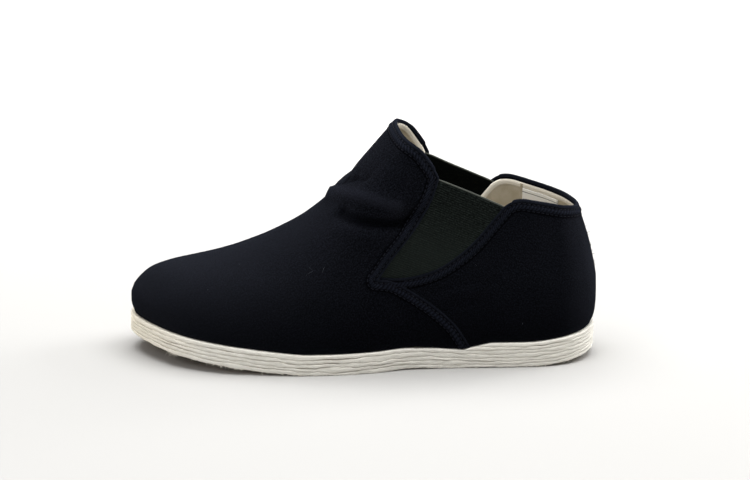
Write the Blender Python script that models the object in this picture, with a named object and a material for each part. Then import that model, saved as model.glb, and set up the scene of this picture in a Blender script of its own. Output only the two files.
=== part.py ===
"""Left cloth shoe: a stack of cotton plies for a sole, a hollow cloth upper and two elastic gores.

Metres, +Z up, +X towards the toe, +Y towards the outer side of the foot. The origin lies on the
floor under the flat spot of the heel. A "share" is a place along the sole, 0 at the heel end and
1 at the toe end.
"""
from math import hypot, pi, radians

import bmesh
import bpy
import numpy as np

# Driving sizes of the sole
LENGTH = 0.275
BALL_WIDTH = 0.0945
WAIST_WIDTH = 0.0690
HEEL_WIDTH = 0.0690
PLY_PITCH = 0.00244
FULL_PLIES = 5
HEEL_PLIES = 2
TOE_SPRING = 0.0110
HEEL_LIFT = 0.0050
WAIST_ARCH = 0.0009
PLY_EDGE_ROUND = 0.00035
HEEL_SPOT = 0.22
BALL_SPOT = 0.57

# Driving sizes of the upper
INSTEP_RISE = 0.126
BACK_RISE = 0.072
BACK_LEAN = 0.012
WALL = 0.0020
LEDGE = 0.0010
BAND_WIDTH = 0.0065
VAMP_BAND_RISE = 0.0009
QUARTER_BAND_RISE = 0.0006
GORE_WALL = 0.0010
GORE_SUNK = 0.0006
INSOLE_THICK = 0.0015

# Gap between neighbouring pieces
CLEAR = 0.0003

# Where the sole leaves the floor, as shares
HEEL_LIFT_END = 0.17
TOE_SPRING_START = 0.63
ARCH_START = 0.31
ARCH_END = 0.50

# Front end of the lower heel ply, how far each further one is set back, and the stretch over which
# each is skived thin, as shares. The thinnest part of that stretch is cut away.
HEEL_PLY_FRONT = 0.305
HEEL_PLY_SET_BACK = 0.030
SKIVE = 0.045
SKIVE_CUT = 0.30

# Rows of the wall from sole to rim, on each side
WALL_ROWS = 10

# Stretches between stations: from share, to share, number of steps
HEEL_STEPS = (0.0, 0.16, 8)
EVEN_STEPS = ((0.16, 0.352, 10), (0.352, 0.46, 8), (0.46, 0.80, 12))
TOE_STEPS = (0.80, 1.0, 10)

# Outline of the sole from above.
# share, width that the row follows, share of that width, middle moved outwards as share of ball width
OUTLINE = (
    (0.000, HEEL_WIDTH, 0.000, 0.000),
    (0.030, HEEL_WIDTH, 0.620, 0.000),
    (0.080, HEEL_WIDTH, 0.870, 0.000),
    (0.160, HEEL_WIDTH, 0.985, 0.000),
    (0.250, HEEL_WIDTH, 0.995, 0.006),
    (0.300, WAIST_WIDTH, 0.986, 0.012),
    (0.350, WAIST_WIDTH, 0.992, 0.020),
    (0.412, WAIST_WIDTH, 1.025, 0.030),
    (0.460, BALL_WIDTH, 0.812, 0.036),
    (0.500, BALL_WIDTH, 0.878, 0.033),
    (0.540, BALL_WIDTH, 0.933, 0.026),
    (0.583, BALL_WIDTH, 0.976, 0.018),
    (0.650, BALL_WIDTH, 1.000, 0.012),
    (0.770, BALL_WIDTH, 0.960, 0.000),
    (0.823, BALL_WIDTH, 0.893, -0.005),
    (0.876, BALL_WIDTH, 0.785, -0.016),
    (0.911, BALL_WIDTH, 0.675, -0.030),
    (0.947, BALL_WIDTH, 0.520, -0.053),
    (0.970, BALL_WIDTH, 0.390, -0.070),
    (1.000, BALL_WIDTH, 0.000, -0.082),
)

# Thickness of one ply along the sole, as a share of the ply pitch
PLY_ALONG = ((0.0, 0.87), (0.22, 0.87), (0.42, 1.0), (0.75, 1.0), (1.0, 0.93))

# Sections of the upper.
# share, height of the ridge as share of the instep rise, width of the top as share of the sole's
# width, power of the arch (2 is an ellipse, more is flatter on top)
SECTIONS = (
    (0.000, 1.600, 0.82, 14.0),
    (0.050, 1.600, 0.84, 14.0),
    (0.100, 1.600, 0.86, 14.0),
    (0.150, 1.600, 0.92, 14.0),
    (0.200, 1.600, 0.97, 14.0),
    (0.300, 1.400, 0.975, 14.0),
    (0.350, 1.250, 1.00, 14.0),
    (0.400, 1.108, 1.01, 14.0),
    (0.436, 1.005, 0.99, 13.0),
    (0.4545, 0.965, 0.96, 11.0),
    (0.504, 0.842, 0.92, 7.0),
    (0.554, 0.715, 0.90, 5.0),
    (0.587, 0.640, 0.90, 4.2),
    (0.654, 0.531, 0.92, 3.4),
    (0.722, 0.440, 0.95, 2.9),
    (0.790, 0.370, 1.00, 2.7),
    (0.858, 0.319, 1.00, 2.6),
    (0.922, 0.271, 1.00, 2.6),
    (0.956, 0.233, 1.00, 2.6),
    (0.9815, 0.177, 1.00, 2.6),
    (0.990, 0.144, 1.00, 2.6),
    (0.996, 0.095, 1.00, 2.6),
    (1.000, 0.000, 1.00, 2.6),
)

# Back seam of the heel seen from the side.
# height above the seat as share of the back rise, forward lean as share of the back lean
BACK_LINE = (
    (0.00, 0.00),
    (0.13, -0.09),
    (0.25, -0.11),
    (0.37, -0.09),
    (0.47, 0.01),
    (0.55, 0.13),
    (0.70, 0.37),
    (0.85, 0.67),
    (1.00, 1.00),
    (1.40, 1.80),
)
LEAN_END = 0.28

# Height over which the walls lean in, as a share of the instep rise, and how far up that height the
# sole's sideways swing still shows
TAPER_REACH = 0.7
SWING_REACH = 1.25

# Wall above the collar line, trimmed off when the collar is cut
COLLAR_TRIM = 0.022

# How far a band's foot stands above the foot of the wall, how far the band reaches into the gore's
# opening before the opening is cut, and the turn of its outer edge around the tip of the gore, in
# degrees
BAND_FOOT = 0.0003
BAND_OVERCUT = 0.00075
TIP_TURN = (25, -50)

# Corners closer together than this after a cut are one corner
WELD = 0.000001

# Lines seen from the side: share along the sole, height over the ball seat as share of the instep rise
COLLAR_LINE = (
    (0.040, 0.622),
    (0.061, 0.635),
    (0.094, 0.650),
    (0.128, 0.668),
    (0.160, 0.684),
    (0.178, 0.691),
    (0.195, 0.689),
    (0.208, 0.679),
    (0.218, 0.664),
    (0.3565, 0.789),
    (0.358, 0.804),
    (0.369, 0.848),
    (0.391, 0.912),
    (0.407, 0.939),
    (0.424, 0.962),
    (0.436, 0.981),
    (0.444, 1.000),
    (0.460, 1.040),
)
GORE_FRONT_EDGE = (
    (0.357, 0.792),
    (0.368, 0.714),
    (0.380, 0.656),
    (0.398, 0.585),
    (0.424, 0.508),
    (0.454, 0.421),
    (0.477, 0.348),
)
GORE_REAR_EDGE = (
    (0.218, 0.664),
    (0.248, 0.583),
    (0.278, 0.502),
    (0.309, 0.438),
    (0.350, 0.379),
    (0.391, 0.348),
    (0.433, 0.337),
    (0.477, 0.348),
)
VAMP_REAR_EDGE = (
    (0.482, 0.340),
    (0.443, 0.319),
    (0.391, 0.249),
    (0.348, 0.179),
    (0.315, 0.110),
    (0.292, 0.038),
    (0.283, 0.004),
)

# Colours as linear values, with roughness
COTTON = (0.56, 0.52, 0.44)
BLACK_CLOTH = (0.006, 0.007, 0.010)
GORE_CLOTH = (0.010, 0.013, 0.012)
LINING = (0.42, 0.35, 0.25)


def clear_scene():
    for obj in list(bpy.data.objects):
        bpy.data.objects.remove(obj, do_unlink=True)


def smooth_curve(places, values, at):
    """Curve through a table's column that never overshoots it, read at the given places."""
    places = np.asarray(places, float)
    values = np.asarray(values, float)
    at = np.clip(np.asarray(at, float), places[0], places[-1])
    step = np.diff(places)
    slope = np.diff(values) / step
    tangent = np.zeros(len(places))
    tangent[0] = slope[0]
    tangent[-1] = slope[-1]
    same_way = slope[:-1] * slope[1:] > 0
    heavy = 2 * step[1:] + step[:-1]
    light = step[1:] + 2 * step[:-1]
    safe_left = np.where(same_way, slope[:-1], 1.0)
    safe_right = np.where(same_way, slope[1:], 1.0)
    mean = (heavy + light) / (heavy / safe_left + light / safe_right)
    tangent[1:-1] = np.where(same_way, mean, 0.0)
    cell = np.clip(np.searchsorted(places, at, side="right") - 1, 0, len(step) - 1)
    t = (at - places[cell]) / step[cell]
    rise = values[cell] * (1 + 2 * t) * (1 - t) ** 2 + values[cell + 1] * t * t * (3 - 2 * t)
    bend = tangent[cell] * t * (1 - t) ** 2 - tangent[cell + 1] * t * t * (1 - t)
    return rise + step[cell] * bend


def column(table, number, at):
    rows = np.array(table, float)
    return smooth_curve(rows[:, 0], rows[:, number], at)


def x_at(share):
    return (np.asarray(share, float) - HEEL_SPOT) * LENGTH


def share_at(x):
    return np.asarray(x, float) / LENGTH + HEEL_SPOT


def half_width(share):
    """Half the sole's width. Its square is interpolated, which rounds the heel and toe ends."""
    rows = np.array(OUTLINE, float)
    half = rows[:, 1] * rows[:, 2] / 2
    return np.sqrt(np.maximum(smooth_curve(rows[:, 0], half * half, share), 0.0))


def middle(share):
    return column(OUTLINE, 3, share) * BALL_WIDTH


def sole_bottom(share):
    """Height of the sole's underside: flat under heel and ball, lifted at both ends and the waist."""
    share = np.asarray(share, float)
    toe = np.clip((share - TOE_SPRING_START) / (1 - TOE_SPRING_START), 0, 1)
    heel = np.clip(1 - share / HEEL_LIFT_END, 0, 1)
    waist = np.clip((share - ARCH_START) / (ARCH_END - ARCH_START), 0, 1)
    return TOE_SPRING * toe ** 1.15 + HEEL_LIFT * heel ** 1.6 + WAIST_ARCH * np.sin(pi * waist) ** 2


def ply_pitch(share):
    return PLY_PITCH * column(PLY_ALONG, 1, share)


def full_ply_base(number, share):
    return sole_bottom(share) + number * ply_pitch(share)


def heel_ply_front(number):
    return HEEL_PLY_FRONT - number * HEEL_PLY_SET_BACK


def heel_ply_rise(number, share):
    """What one heel ply adds to the height of the seat, sloping off over its skived front."""
    ramp = np.clip((heel_ply_front(number) - np.asarray(share, float)) / SKIVE, 0, 1)
    return ply_pitch(share) * ramp * ramp * (3 - 2 * ramp)


def heel_ply_base(number, share):
    base = full_ply_base(FULL_PLIES, share)
    for lower in range(number):
        base = base + heel_ply_rise(lower, share)
    return base


def seat(share):
    """Height at which the upper and the insole stand on the plies."""
    return heel_ply_base(HEEL_PLIES, share)


def ball_seat():
    return float(seat(BALL_SPOT))


def outline_point(share, side, inset):
    """Point of the sole's outline on one side, moved in by the inset square to the outline."""
    if share <= 0 or share >= 1:
        return float(x_at(share)) + (inset if share <= 0 else -inset), float(middle(share))
    small = 1e-5
    before = max(share - small, 0)
    after = min(share + small, 1)
    dx = float(x_at(after) - x_at(before))
    dy = float(side * (half_width(after) - half_width(before)) + middle(after) - middle(before))
    length = hypot(dx, dy)
    x = float(x_at(share)) + inset * side * dy / length
    y = float(middle(share) + side * half_width(share)) - inset * side * dx / length
    return x, y


def all_shares():
    """Stations along the shoe, closest together at its round ends."""
    start, end, count = HEEL_STEPS
    heel = start + (end - start) * (np.arange(count) / count) ** 2
    even = [np.linspace(low, high, steps, endpoint=False) for low, high, steps in EVEN_STEPS]
    start, end, count = TOE_STEPS
    toe = end - (end - start) * (1 - np.arange(count + 1) / count) ** 2
    return np.concatenate([heel, *even, toe])


def ridge_height(share):
    """Height of the upper's middle line, carried on past the collar as the leg would be."""
    rows = np.array(SECTIONS, float)
    square = smooth_curve(rows[:, 0], rows[:, 1] ** 2, share)
    return seat(share) + INSTEP_RISE * np.sqrt(np.maximum(square, 0.0))


def collar_height(x):
    rows = np.array(COLLAR_LINE, float)
    over = np.interp(share_at(x), rows[:, 0], rows[:, 1])
    return ball_seat() + INSTEP_RISE * over


def back_lean(share, height):
    """How far a point of the heel stands forward of its place on the sole."""
    over_seat = (height - seat(share)) / BACK_RISE
    fade = np.clip(1 - np.asarray(share, float) / LEAN_END, 0, 1) ** 2
    return BACK_LEAN * column(BACK_LINE, 1, over_seat) * fade


def wall_half_width(share, height):
    """Half the distance between the two walls at one place and height."""
    over_seat = height - seat(share)
    full = np.maximum(ridge_height(share) - seat(share), 1e-6)
    up = np.clip(over_seat / full, 0, 1)
    taper = (column(SECTIONS, 2, share) - 1) * np.clip(over_seat / (TAPER_REACH * INSTEP_RISE), 0, 2) ** 1.5
    arch = np.sqrt(1 - up ** column(SECTIONS, 3, share))
    return half_width(share) * (1 + taper) * arch


def wall_middle(share, height):
    """The sole's middle line swings in and out; the collar above it is centred."""
    reach = SWING_REACH * TAPER_REACH * INSTEP_RISE
    return middle(share) * np.clip(1 - (height - seat(share)) / reach, 0, 1)


def top_of_wall(share):
    """Height of the wall before the collar is cut: above the collar line behind the peak, and the
    ridge in front of it."""
    height = collar_height(x_at(share))
    for _ in range(6):
        height = collar_height(x_at(share) + back_lean(share, height))
    return min(float(height) + COLLAR_TRIM, float(ridge_height(share)))


def wall_row(share):
    """One section of the upper on one side: distance from the middle and height, evenly spaced."""
    foot = float(seat(share)) + CLEAR
    top = max(top_of_wall(share), foot)
    along = np.linspace(0, 1, 120)
    height = foot + (top - foot) * (1 - (1 - along) ** 2)
    half = wall_half_width(share, height)
    run = np.concatenate([[0], np.cumsum(np.hypot(np.diff(half), np.diff(height)))])
    wanted = np.linspace(0, run[-1], WALL_ROWS + 1)
    return np.interp(wanted, run, half), np.interp(wanted, run, height)


def wall_x(share, height):
    return x_at(share) + back_lean(share, height)


def outside(share, y, height):
    """Below zero inside the upper's form, above zero outside, and zero on the sheet."""
    return (y - wall_middle(share, height)) ** 2 - wall_half_width(share, height) ** 2


def straight_out(share, y, height):
    """Directions square to the sheet along one section, from how fast a point comes to lie outside."""
    if share >= 1:
        return np.tile((1.0, 0.0, 0.0), (len(y), 1))
    small = 1e-5
    before = max(share - small, 0.0)
    after = min(share + small, 1.0)
    along = (outside(after, y, height) - outside(before, y, height))
    along /= wall_x(after, height) - wall_x(before, height)
    lean = (wall_x(share, height + small) - wall_x(share, height - small)) / (2 * small)
    up = (outside(share, y, height + small) - outside(share, y, height - small)) / (2 * small)
    across = 2 * (y - wall_middle(share, height))
    way = np.stack([along, across, up - along * lean], 1)
    return way / np.linalg.norm(way, axis=1)[:, None]


def wall_sheet():
    """The upper's form as one sheet standing on the sole's outline, without thickness."""
    bm = bmesh.new()
    out = bm.verts.layers.float_vector.new("out")
    for side in (1, -1):
        grid = []
        for share in all_shares():
            half, height = wall_row(share)
            y = wall_middle(share, height) + side * half
            line = [bm.verts.new(point) for point in zip(wall_x(share, height), y, height)]
            for vert, way in zip(line, straight_out(share, y, height)):
                vert[out] = way
            grid.append(line)
        for here, ahead in zip(grid[:-1], grid[1:]):
            for row in range(WALL_ROWS):
                corners = (here[row], ahead[row], ahead[row + 1], here[row + 1])
                bm.faces.new(corners if side < 0 else corners[::-1])
    bmesh.ops.remove_doubles(bm, verts=bm.verts, dist=1e-6)
    return bm


def shell(name, sheet, outer, inner, raised=0.0):
    """Closed layer between two depths measured inwards from the sheet, its foot raised a little."""
    out = sheet.verts.layers.float_vector["out"]
    bm = bmesh.new()
    layers = {}
    for depth in (outer, inner):
        made = []
        for vert in sheet.verts:
            way = vert[out].copy()
            on_sole = abs(vert.co.z - float(seat(share_at(vert.co.x))) - CLEAR) < 1e-6
            if on_sole:
                way.z = 0
                way.normalize()
            point = vert.co - way * depth
            if on_sole:
                point.z = float(seat(share_at(point.x))) + CLEAR + raised
            made.append(bm.verts.new(point))
        layers[depth] = made
    for face in sheet.faces:
        order = [vert.index for vert in face.verts]
        bm.faces.new([layers[outer][i] for i in order])
        bm.faces.new([layers[inner][i] for i in reversed(order)])
    for edge in sheet.edges:
        if edge.is_boundary:
            first, second = (vert.index for vert in edge.verts)
            bm.faces.new((layers[outer][first], layers[outer][second],
                          layers[inner][second], layers[inner][first]))
    bmesh.ops.recalc_face_normals(bm, faces=bm.faces)
    return finish(name, bm)


def finish(name, bm):
    mesh = bpy.data.meshes.new(name)
    bm.to_mesh(mesh)
    bm.free()
    obj = bpy.data.objects.new(name, mesh)
    bpy.context.scene.collection.objects.link(obj)
    return obj


def plate(name, shares, under, over, inset, edge):
    """Thin plate with the sole's outline and rounded edges, between two heights along the sole."""
    bm = bmesh.new()
    rings = []
    levels = ((0.0, edge), (0.5, 0.0), (1.0, edge))
    for share in shares:
        ring = []
        for side, order in ((1, levels), (-1, levels[::-1])):
            for level, tuck in order:
                x, y = outline_point(share, side, inset + tuck)
                place = share_at(x)
                low = float(under(place))
                high = float(over(place))
                ring.append(bm.verts.new((float(x), float(y), low + (high - low) * level)))
        rings.append(ring)
    for here, ahead in zip(rings[:-1], rings[1:]):
        for i in range(6):
            j = (i + 1) % 6
            bm.faces.new((here[i], here[j], ahead[j], ahead[i]))
    for share, ring in ((shares[0], rings[0]), (shares[-1], rings[-1])):
        if 0 < share < 1:
            bm.faces.new(ring)
    bmesh.ops.remove_doubles(bm, verts=bm.verts, dist=1e-6)
    bmesh.ops.recalc_face_normals(bm, faces=bm.faces)
    return finish(name, bm)


def prism(name, points, y_from, y_to):
    """Side-view outline carried straight across the shoe."""
    bm = bmesh.new()
    near = [bm.verts.new((x, y_from, z)) for x, z in points]
    far = [bm.verts.new((x, y_to, z)) for x, z in points]
    count = len(points)
    bm.faces.new(near)
    bm.faces.new(far[::-1])
    for i in range(count):
        j = (i + 1) % count
        bm.faces.new((near[i], far[i], far[j], near[j]))
    bmesh.ops.recalc_face_normals(bm, faces=bm.faces)
    return finish(name, bm)


def weld(mesh):
    """Make corners that lie together one corner and take out faces without area."""
    bm = bmesh.new()
    bm.from_mesh(mesh)
    bmesh.ops.remove_doubles(bm, verts=bm.verts, dist=WELD)
    bmesh.ops.dissolve_degenerate(bm, edges=bm.edges, dist=WELD)
    bm.to_mesh(mesh)
    bm.free()


def combine(obj, operation, tool):
    """Apply one Boolean to the object, weld the corners that meet and remove the tool."""
    modifier = obj.modifiers.new("combine", "BOOLEAN")
    modifier.operation = operation
    modifier.object = tool
    bpy.context.view_layer.update()
    graph = bpy.context.evaluated_depsgraph_get()
    mesh = bpy.data.meshes.new_from_object(obj.evaluated_get(graph))
    obj.modifiers.clear()
    old = obj.data
    obj.data = mesh
    mesh.name = obj.name
    bpy.data.meshes.remove(old)
    bpy.data.objects.remove(tool, do_unlink=True)
    weld(mesh)


def side_line(table, steps=3):
    """Smooth side-view line through a table's rows, in metres."""
    rows = np.array(table, float)
    points = np.stack([x_at(rows[:, 0]), ball_seat() + INSTEP_RISE * rows[:, 1]], 1)
    padded = np.concatenate([[2 * points[0] - points[1]], points, [2 * points[-1] - points[-2]]])
    line = []
    for i in range(1, len(padded) - 2):
        a, b, c, d = padded[i - 1:i + 3]
        for t in np.arange(steps) / steps:
            line.append(0.5 * (2 * b + (c - a) * t + (2 * a - 5 * b + 4 * c - d) * t ** 2
                               + (3 * b - a - 3 * c + d) * t ** 3))
    line.append(points[-1])
    return np.array(line)


def beside(line, distance):
    """The line moved to its left by the distance."""
    along = np.gradient(line, axis=0)
    along /= np.linalg.norm(along, axis=1)[:, None]
    return line + distance * np.stack([-along[:, 1], along[:, 0]], 1)


def arc(centre, radius, start, end, steps=6):
    turns = np.linspace(start, end, steps)
    return centre + radius * np.stack([np.cos(turns), np.sin(turns)], 1)


def notch_outline(inset):
    """Side view of the opening for a gore, made smaller all round by the inset, open above."""
    front = beside(side_line(GORE_FRONT_EDGE), -inset)
    rear = beside(side_line(GORE_REAR_EDGE), inset)
    tip = (front[-1] + rear[-1]) / 2 - (inset * 2.5, 0)
    lid = [rear[0] + (0, COLLAR_TRIM / 2), front[0] + (-COLLAR_TRIM / 2, COLLAR_TRIM / 2)]
    return np.concatenate([front[:-1], [tip], rear[::-1][1:], lid])


def collar_outline():
    """Side view of all that lies above the collar."""
    rows = np.array(COLLAR_LINE, float)
    line = np.stack([x_at(rows[:, 0]), ball_seat() + INSTEP_RISE * rows[:, 1]], 1)
    high = line[:, 1].max() + INSTEP_RISE
    behind = x_at(0) - BALL_WIDTH
    return np.concatenate([[(behind, line[0, 1])], line, [(line[-1, 0], high), (behind, high)]])


def carried_up(line):
    """The line with its first stretch carried on above the collar."""
    along = line[0] - line[1]
    return np.concatenate([[line[0] + along / np.linalg.norm(along) * COLLAR_TRIM / 2], line])


def vamp_band_outline():
    """Strip of the vamp along the gore and back down over the quarter to the sole."""
    front = carried_up(side_line(GORE_FRONT_EDGE))
    seam = side_line(VAMP_REAR_EDGE)
    tip = (front[-1] + seam[0]) / 2
    inner = np.concatenate([beside(front[:-1], -BAND_OVERCUT), seam])
    seam_side = beside(seam, BAND_WIDTH)[2:]
    front_side = beside(front, BAND_WIDTH)[:-1]
    around = arc(tip, BAND_WIDTH, *np.radians(TIP_TURN))
    return np.concatenate([inner, seam_side[::-1], around[::-1], front_side[::-1]])


def quarter_band_outline():
    """Strip of the quarter along the rear and lower edge of the gore."""
    rear = carried_up(side_line(GORE_REAR_EDGE)[:-2])
    return np.concatenate([beside(rear, BAND_OVERCUT), beside(rear, -BAND_WIDTH)[::-1]])


def material(name, colour, roughness):
    made = bpy.data.materials.new(name)
    made.use_nodes = True
    principled = made.node_tree.nodes["Principled BSDF"]
    principled.inputs["Base Color"].default_value = (*colour, 1)
    principled.inputs["Roughness"].default_value = roughness
    principled.inputs["Metallic"].default_value = 0
    return made


def dress(obj, made, angle):
    obj.data.materials.clear()
    obj.data.materials.append(made)
    obj.data.shade_smooth()
    obj.data.set_sharp_from_angle(angle=radians(angle))


def build_sole(cotton):
    shares = all_shares()
    for number in range(FULL_PLIES):
        ply = plate(f"sole_ply_{number + 1}", shares,
                    lambda s, n=number: full_ply_base(n, s),
                    lambda s, n=number: full_ply_base(n + 1, s) - CLEAR,
                    0.0, PLY_EDGE_ROUND)
        dress(ply, cotton, 40)
    for number in range(HEEL_PLIES):
        front = heel_ply_front(number) - SKIVE_CUT * SKIVE
        here = np.append(shares[shares < front - SKIVE / 8], front)
        ply = plate(f"heel_ply_{number + 1}", here,
                    lambda s, n=number: heel_ply_base(n, s),
                    lambda s, n=number: heel_ply_base(n + 1, s) - CLEAR,
                    0.0, PLY_EDGE_ROUND)
        dress(ply, cotton, 40)


def build_insole(cloth):
    inset = LEDGE + WALL + 2 * CLEAR
    insole = plate("insole", all_shares(),
                   lambda s: seat(s) + CLEAR,
                   lambda s: seat(s) + CLEAR + INSOLE_THICK,
                   inset, PLY_EDGE_ROUND)
    dress(insole, cloth, 40)


def build_upper(sheet, cloth):
    upper = shell("upper", sheet, LEDGE, LEDGE + WALL)
    across = BALL_WIDTH
    for outline, rise in ((quarter_band_outline(), QUARTER_BAND_RISE),
                          (vamp_band_outline(), VAMP_BAND_RISE)):
        band = shell("band", sheet, LEDGE - rise, LEDGE + WALL / 2, BAND_FOOT)
        combine(band, "INTERSECT", prism("strip", outline, -across, across))
        combine(upper, "UNION", band)
    combine(upper, "DIFFERENCE", prism("notch", notch_outline(0.0), -across, across))
    combine(upper, "DIFFERENCE", prism("collar", collar_outline(), -across, across))
    dress(upper, cloth, 35)


def build_gores(sheet, cloth):
    for name, near, far in (("gore_lateral", 0, BALL_WIDTH), ("gore_medial", -BALL_WIDTH, 0)):
        gore = shell(name, sheet, LEDGE + GORE_SUNK, LEDGE + GORE_SUNK + GORE_WALL)
        combine(gore, "INTERSECT", prism("wedge", notch_outline(CLEAR), near, far))
        combine(gore, "DIFFERENCE", prism("collar", collar_outline(), -BALL_WIDTH, BALL_WIDTH))
        dress(gore, cloth, 35)


def main():
    clear_scene()
    build_sole(material("pasted_cotton_ply", COTTON, 0.9))
    build_insole(material("insole_cloth", LINING, 0.9))
    sheet = wall_sheet()
    build_upper(sheet, material("black_cotton_cloth", BLACK_CLOTH, 0.85))
    build_gores(sheet, material("ribbed_elastic", GORE_CLOTH, 0.8))
    sheet.free()


main()
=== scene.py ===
# %% [markdown]
# # A black cloth shoe with a layered cotton sole
# The shoe is a soft black cotton upper over a sole of stacked cotton plies, with an elastic gore on
# each side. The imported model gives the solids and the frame. Here each soft solid is replaced by the
# sewn piece it stands for, in the same place, and gets its cloth, seams, folds and frayed edges.

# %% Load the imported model
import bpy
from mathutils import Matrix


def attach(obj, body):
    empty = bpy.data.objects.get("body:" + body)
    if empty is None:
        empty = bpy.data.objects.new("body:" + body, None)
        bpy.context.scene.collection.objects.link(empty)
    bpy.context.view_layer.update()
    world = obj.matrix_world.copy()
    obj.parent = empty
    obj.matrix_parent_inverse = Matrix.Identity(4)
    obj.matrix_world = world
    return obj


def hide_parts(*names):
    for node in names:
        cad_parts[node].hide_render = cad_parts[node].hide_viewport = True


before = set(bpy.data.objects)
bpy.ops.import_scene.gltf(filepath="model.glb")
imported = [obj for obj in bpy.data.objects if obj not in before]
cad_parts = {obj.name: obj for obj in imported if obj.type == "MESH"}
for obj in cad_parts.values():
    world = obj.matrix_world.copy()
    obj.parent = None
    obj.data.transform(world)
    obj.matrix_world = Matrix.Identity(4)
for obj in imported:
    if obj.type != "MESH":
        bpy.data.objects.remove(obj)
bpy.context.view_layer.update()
print("nodes:", sorted(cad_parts))

# %% Modules
from math import cos, hypot, pi, radians, sin

import bmesh
import bpy
import numpy as np
from mathutils import Matrix, Vector, noise

scene = bpy.context.scene
MM = 0.001

# %% [markdown]
# ## The last
# A shoe is sewn over a last, a solid foot form, and every panel takes its curve from it. The packed
# model's solids were made from one set of sizes and short tables. The same sizes are repeated here,
# so that each panel can be built on the same form, finer than the solid and with its own folds.
# Heights are shares of the instep rise, and a "share" is a place along the sole from heel to toe.

# %% Sizes of the last
LENGTH = 0.275
BALL_WIDTH = 0.0945
WAIST_WIDTH = 0.0690
HEEL_WIDTH = 0.0690
PLY_PITCH = 0.00244
FULL_PLIES = 5
HEEL_PLIES = 2
HEEL_SPOT = 0.22
BALL_SPOT = 0.57
INSTEP_RISE = 0.126
BACK_RISE = 0.072
BACK_LEAN = 0.012
LEAN_END = 0.28
TAPER_REACH = 0.7
SWING_REACH = 1.25
LEDGE = 0.0010
WALL = 0.0020
CLEAR = 0.0003
HEEL_PLY_FRONT = 0.305
HEEL_PLY_SET_BACK = 0.030
SKIVE = 0.045
SKIVE_CUT = 0.30
TOE_RISE, TOE_FROM, TOE_RUN = 0.0110, 0.63, 0.37
HEEL_RISE, HEEL_RUN = 0.0050, 0.17
WAIST_RISE, WAIST_FROM, WAIST_RUN = 0.0009, 0.31, 0.19
SMALL = 1e-5

# %% Outline of the sole: share, width it follows, share of that width, swing of the middle
OUTLINE = np.array((
    (0.000, HEEL_WIDTH, 0.000, 0.000), (0.030, HEEL_WIDTH, 0.620, 0.000),
    (0.080, HEEL_WIDTH, 0.870, 0.000), (0.160, HEEL_WIDTH, 0.985, 0.000),
    (0.250, HEEL_WIDTH, 0.995, 0.006), (0.300, WAIST_WIDTH, 0.986, 0.012),
    (0.350, WAIST_WIDTH, 0.992, 0.020), (0.412, WAIST_WIDTH, 1.025, 0.030),
    (0.460, BALL_WIDTH, 0.812, 0.036), (0.500, BALL_WIDTH, 0.878, 0.033),
    (0.540, BALL_WIDTH, 0.933, 0.026), (0.583, BALL_WIDTH, 0.976, 0.018),
    (0.650, BALL_WIDTH, 1.000, 0.012), (0.770, BALL_WIDTH, 0.960, 0.000),
    (0.823, BALL_WIDTH, 0.893, -0.005), (0.876, BALL_WIDTH, 0.785, -0.016),
    (0.911, BALL_WIDTH, 0.675, -0.030), (0.947, BALL_WIDTH, 0.520, -0.053),
    (0.970, BALL_WIDTH, 0.390, -0.070), (1.000, BALL_WIDTH, 0.000, -0.082),
))
PLY_ALONG = np.array(((0.0, 0.87), (0.22, 0.87), (0.42, 1.0), (0.75, 1.0), (1.0, 0.93)))

# %% Sections of the upper: share, ridge height, width of the top, power of the arch
SECTIONS = np.array((
    (0.000, 1.600, 0.82, 14.0), (0.050, 1.600, 0.84, 14.0), (0.100, 1.600, 0.86, 14.0),
    (0.150, 1.600, 0.92, 14.0), (0.200, 1.600, 0.97, 14.0), (0.300, 1.400, 0.975, 14.0),
    (0.350, 1.250, 1.00, 14.0), (0.400, 1.108, 1.01, 14.0), (0.436, 1.005, 0.99, 13.0),
    (0.4545, 0.965, 0.96, 11.0), (0.504, 0.842, 0.92, 7.0), (0.554, 0.715, 0.90, 5.0),
    (0.587, 0.640, 0.90, 4.2), (0.654, 0.531, 0.92, 3.4), (0.722, 0.440, 0.95, 2.9),
    (0.790, 0.370, 1.00, 2.7), (0.858, 0.319, 1.00, 2.6), (0.922, 0.271, 1.00, 2.6),
    (0.956, 0.233, 1.00, 2.6), (0.9815, 0.177, 1.00, 2.6), (0.990, 0.144, 1.00, 2.6),
    (0.996, 0.095, 1.00, 2.6), (1.000, 0.000, 1.00, 2.6),
))
BACK_LINE = np.array((
    (0.00, 0.00), (0.13, -0.09), (0.25, -0.11), (0.37, -0.09), (0.47, 0.01), (0.55, 0.13),
    (0.70, 0.37), (0.85, 0.67), (1.00, 1.00), (1.40, 1.80),
))

# %% Seam and edge lines seen from the side: share, height over the ball seat
COLLAR_REAR = ((0.040, 0.622), (0.061, 0.635), (0.094, 0.650), (0.128, 0.668), (0.160, 0.684),
               (0.178, 0.691), (0.195, 0.689), (0.208, 0.679), (0.218, 0.664))
COLLAR_FRONT = ((0.3565, 0.789), (0.358, 0.804), (0.369, 0.848), (0.391, 0.912), (0.407, 0.939),
                (0.424, 0.962), (0.436, 0.981), (0.444, 1.000), (0.460, 1.040))
GORE_FRONT_EDGE = ((0.357, 0.792), (0.368, 0.714), (0.380, 0.656), (0.398, 0.585),
                   (0.424, 0.508), (0.454, 0.421), (0.477, 0.348))
GORE_REAR_EDGE = ((0.218, 0.664), (0.248, 0.583), (0.278, 0.502), (0.309, 0.438),
                  (0.350, 0.379), (0.391, 0.348), (0.433, 0.337), (0.477, 0.348))
VAMP_REAR_EDGE = ((0.482, 0.340), (0.443, 0.319), (0.391, 0.249), (0.348, 0.179),
                  (0.315, 0.110), (0.292, 0.038), (0.283, 0.004), (0.272, -0.040))

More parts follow.
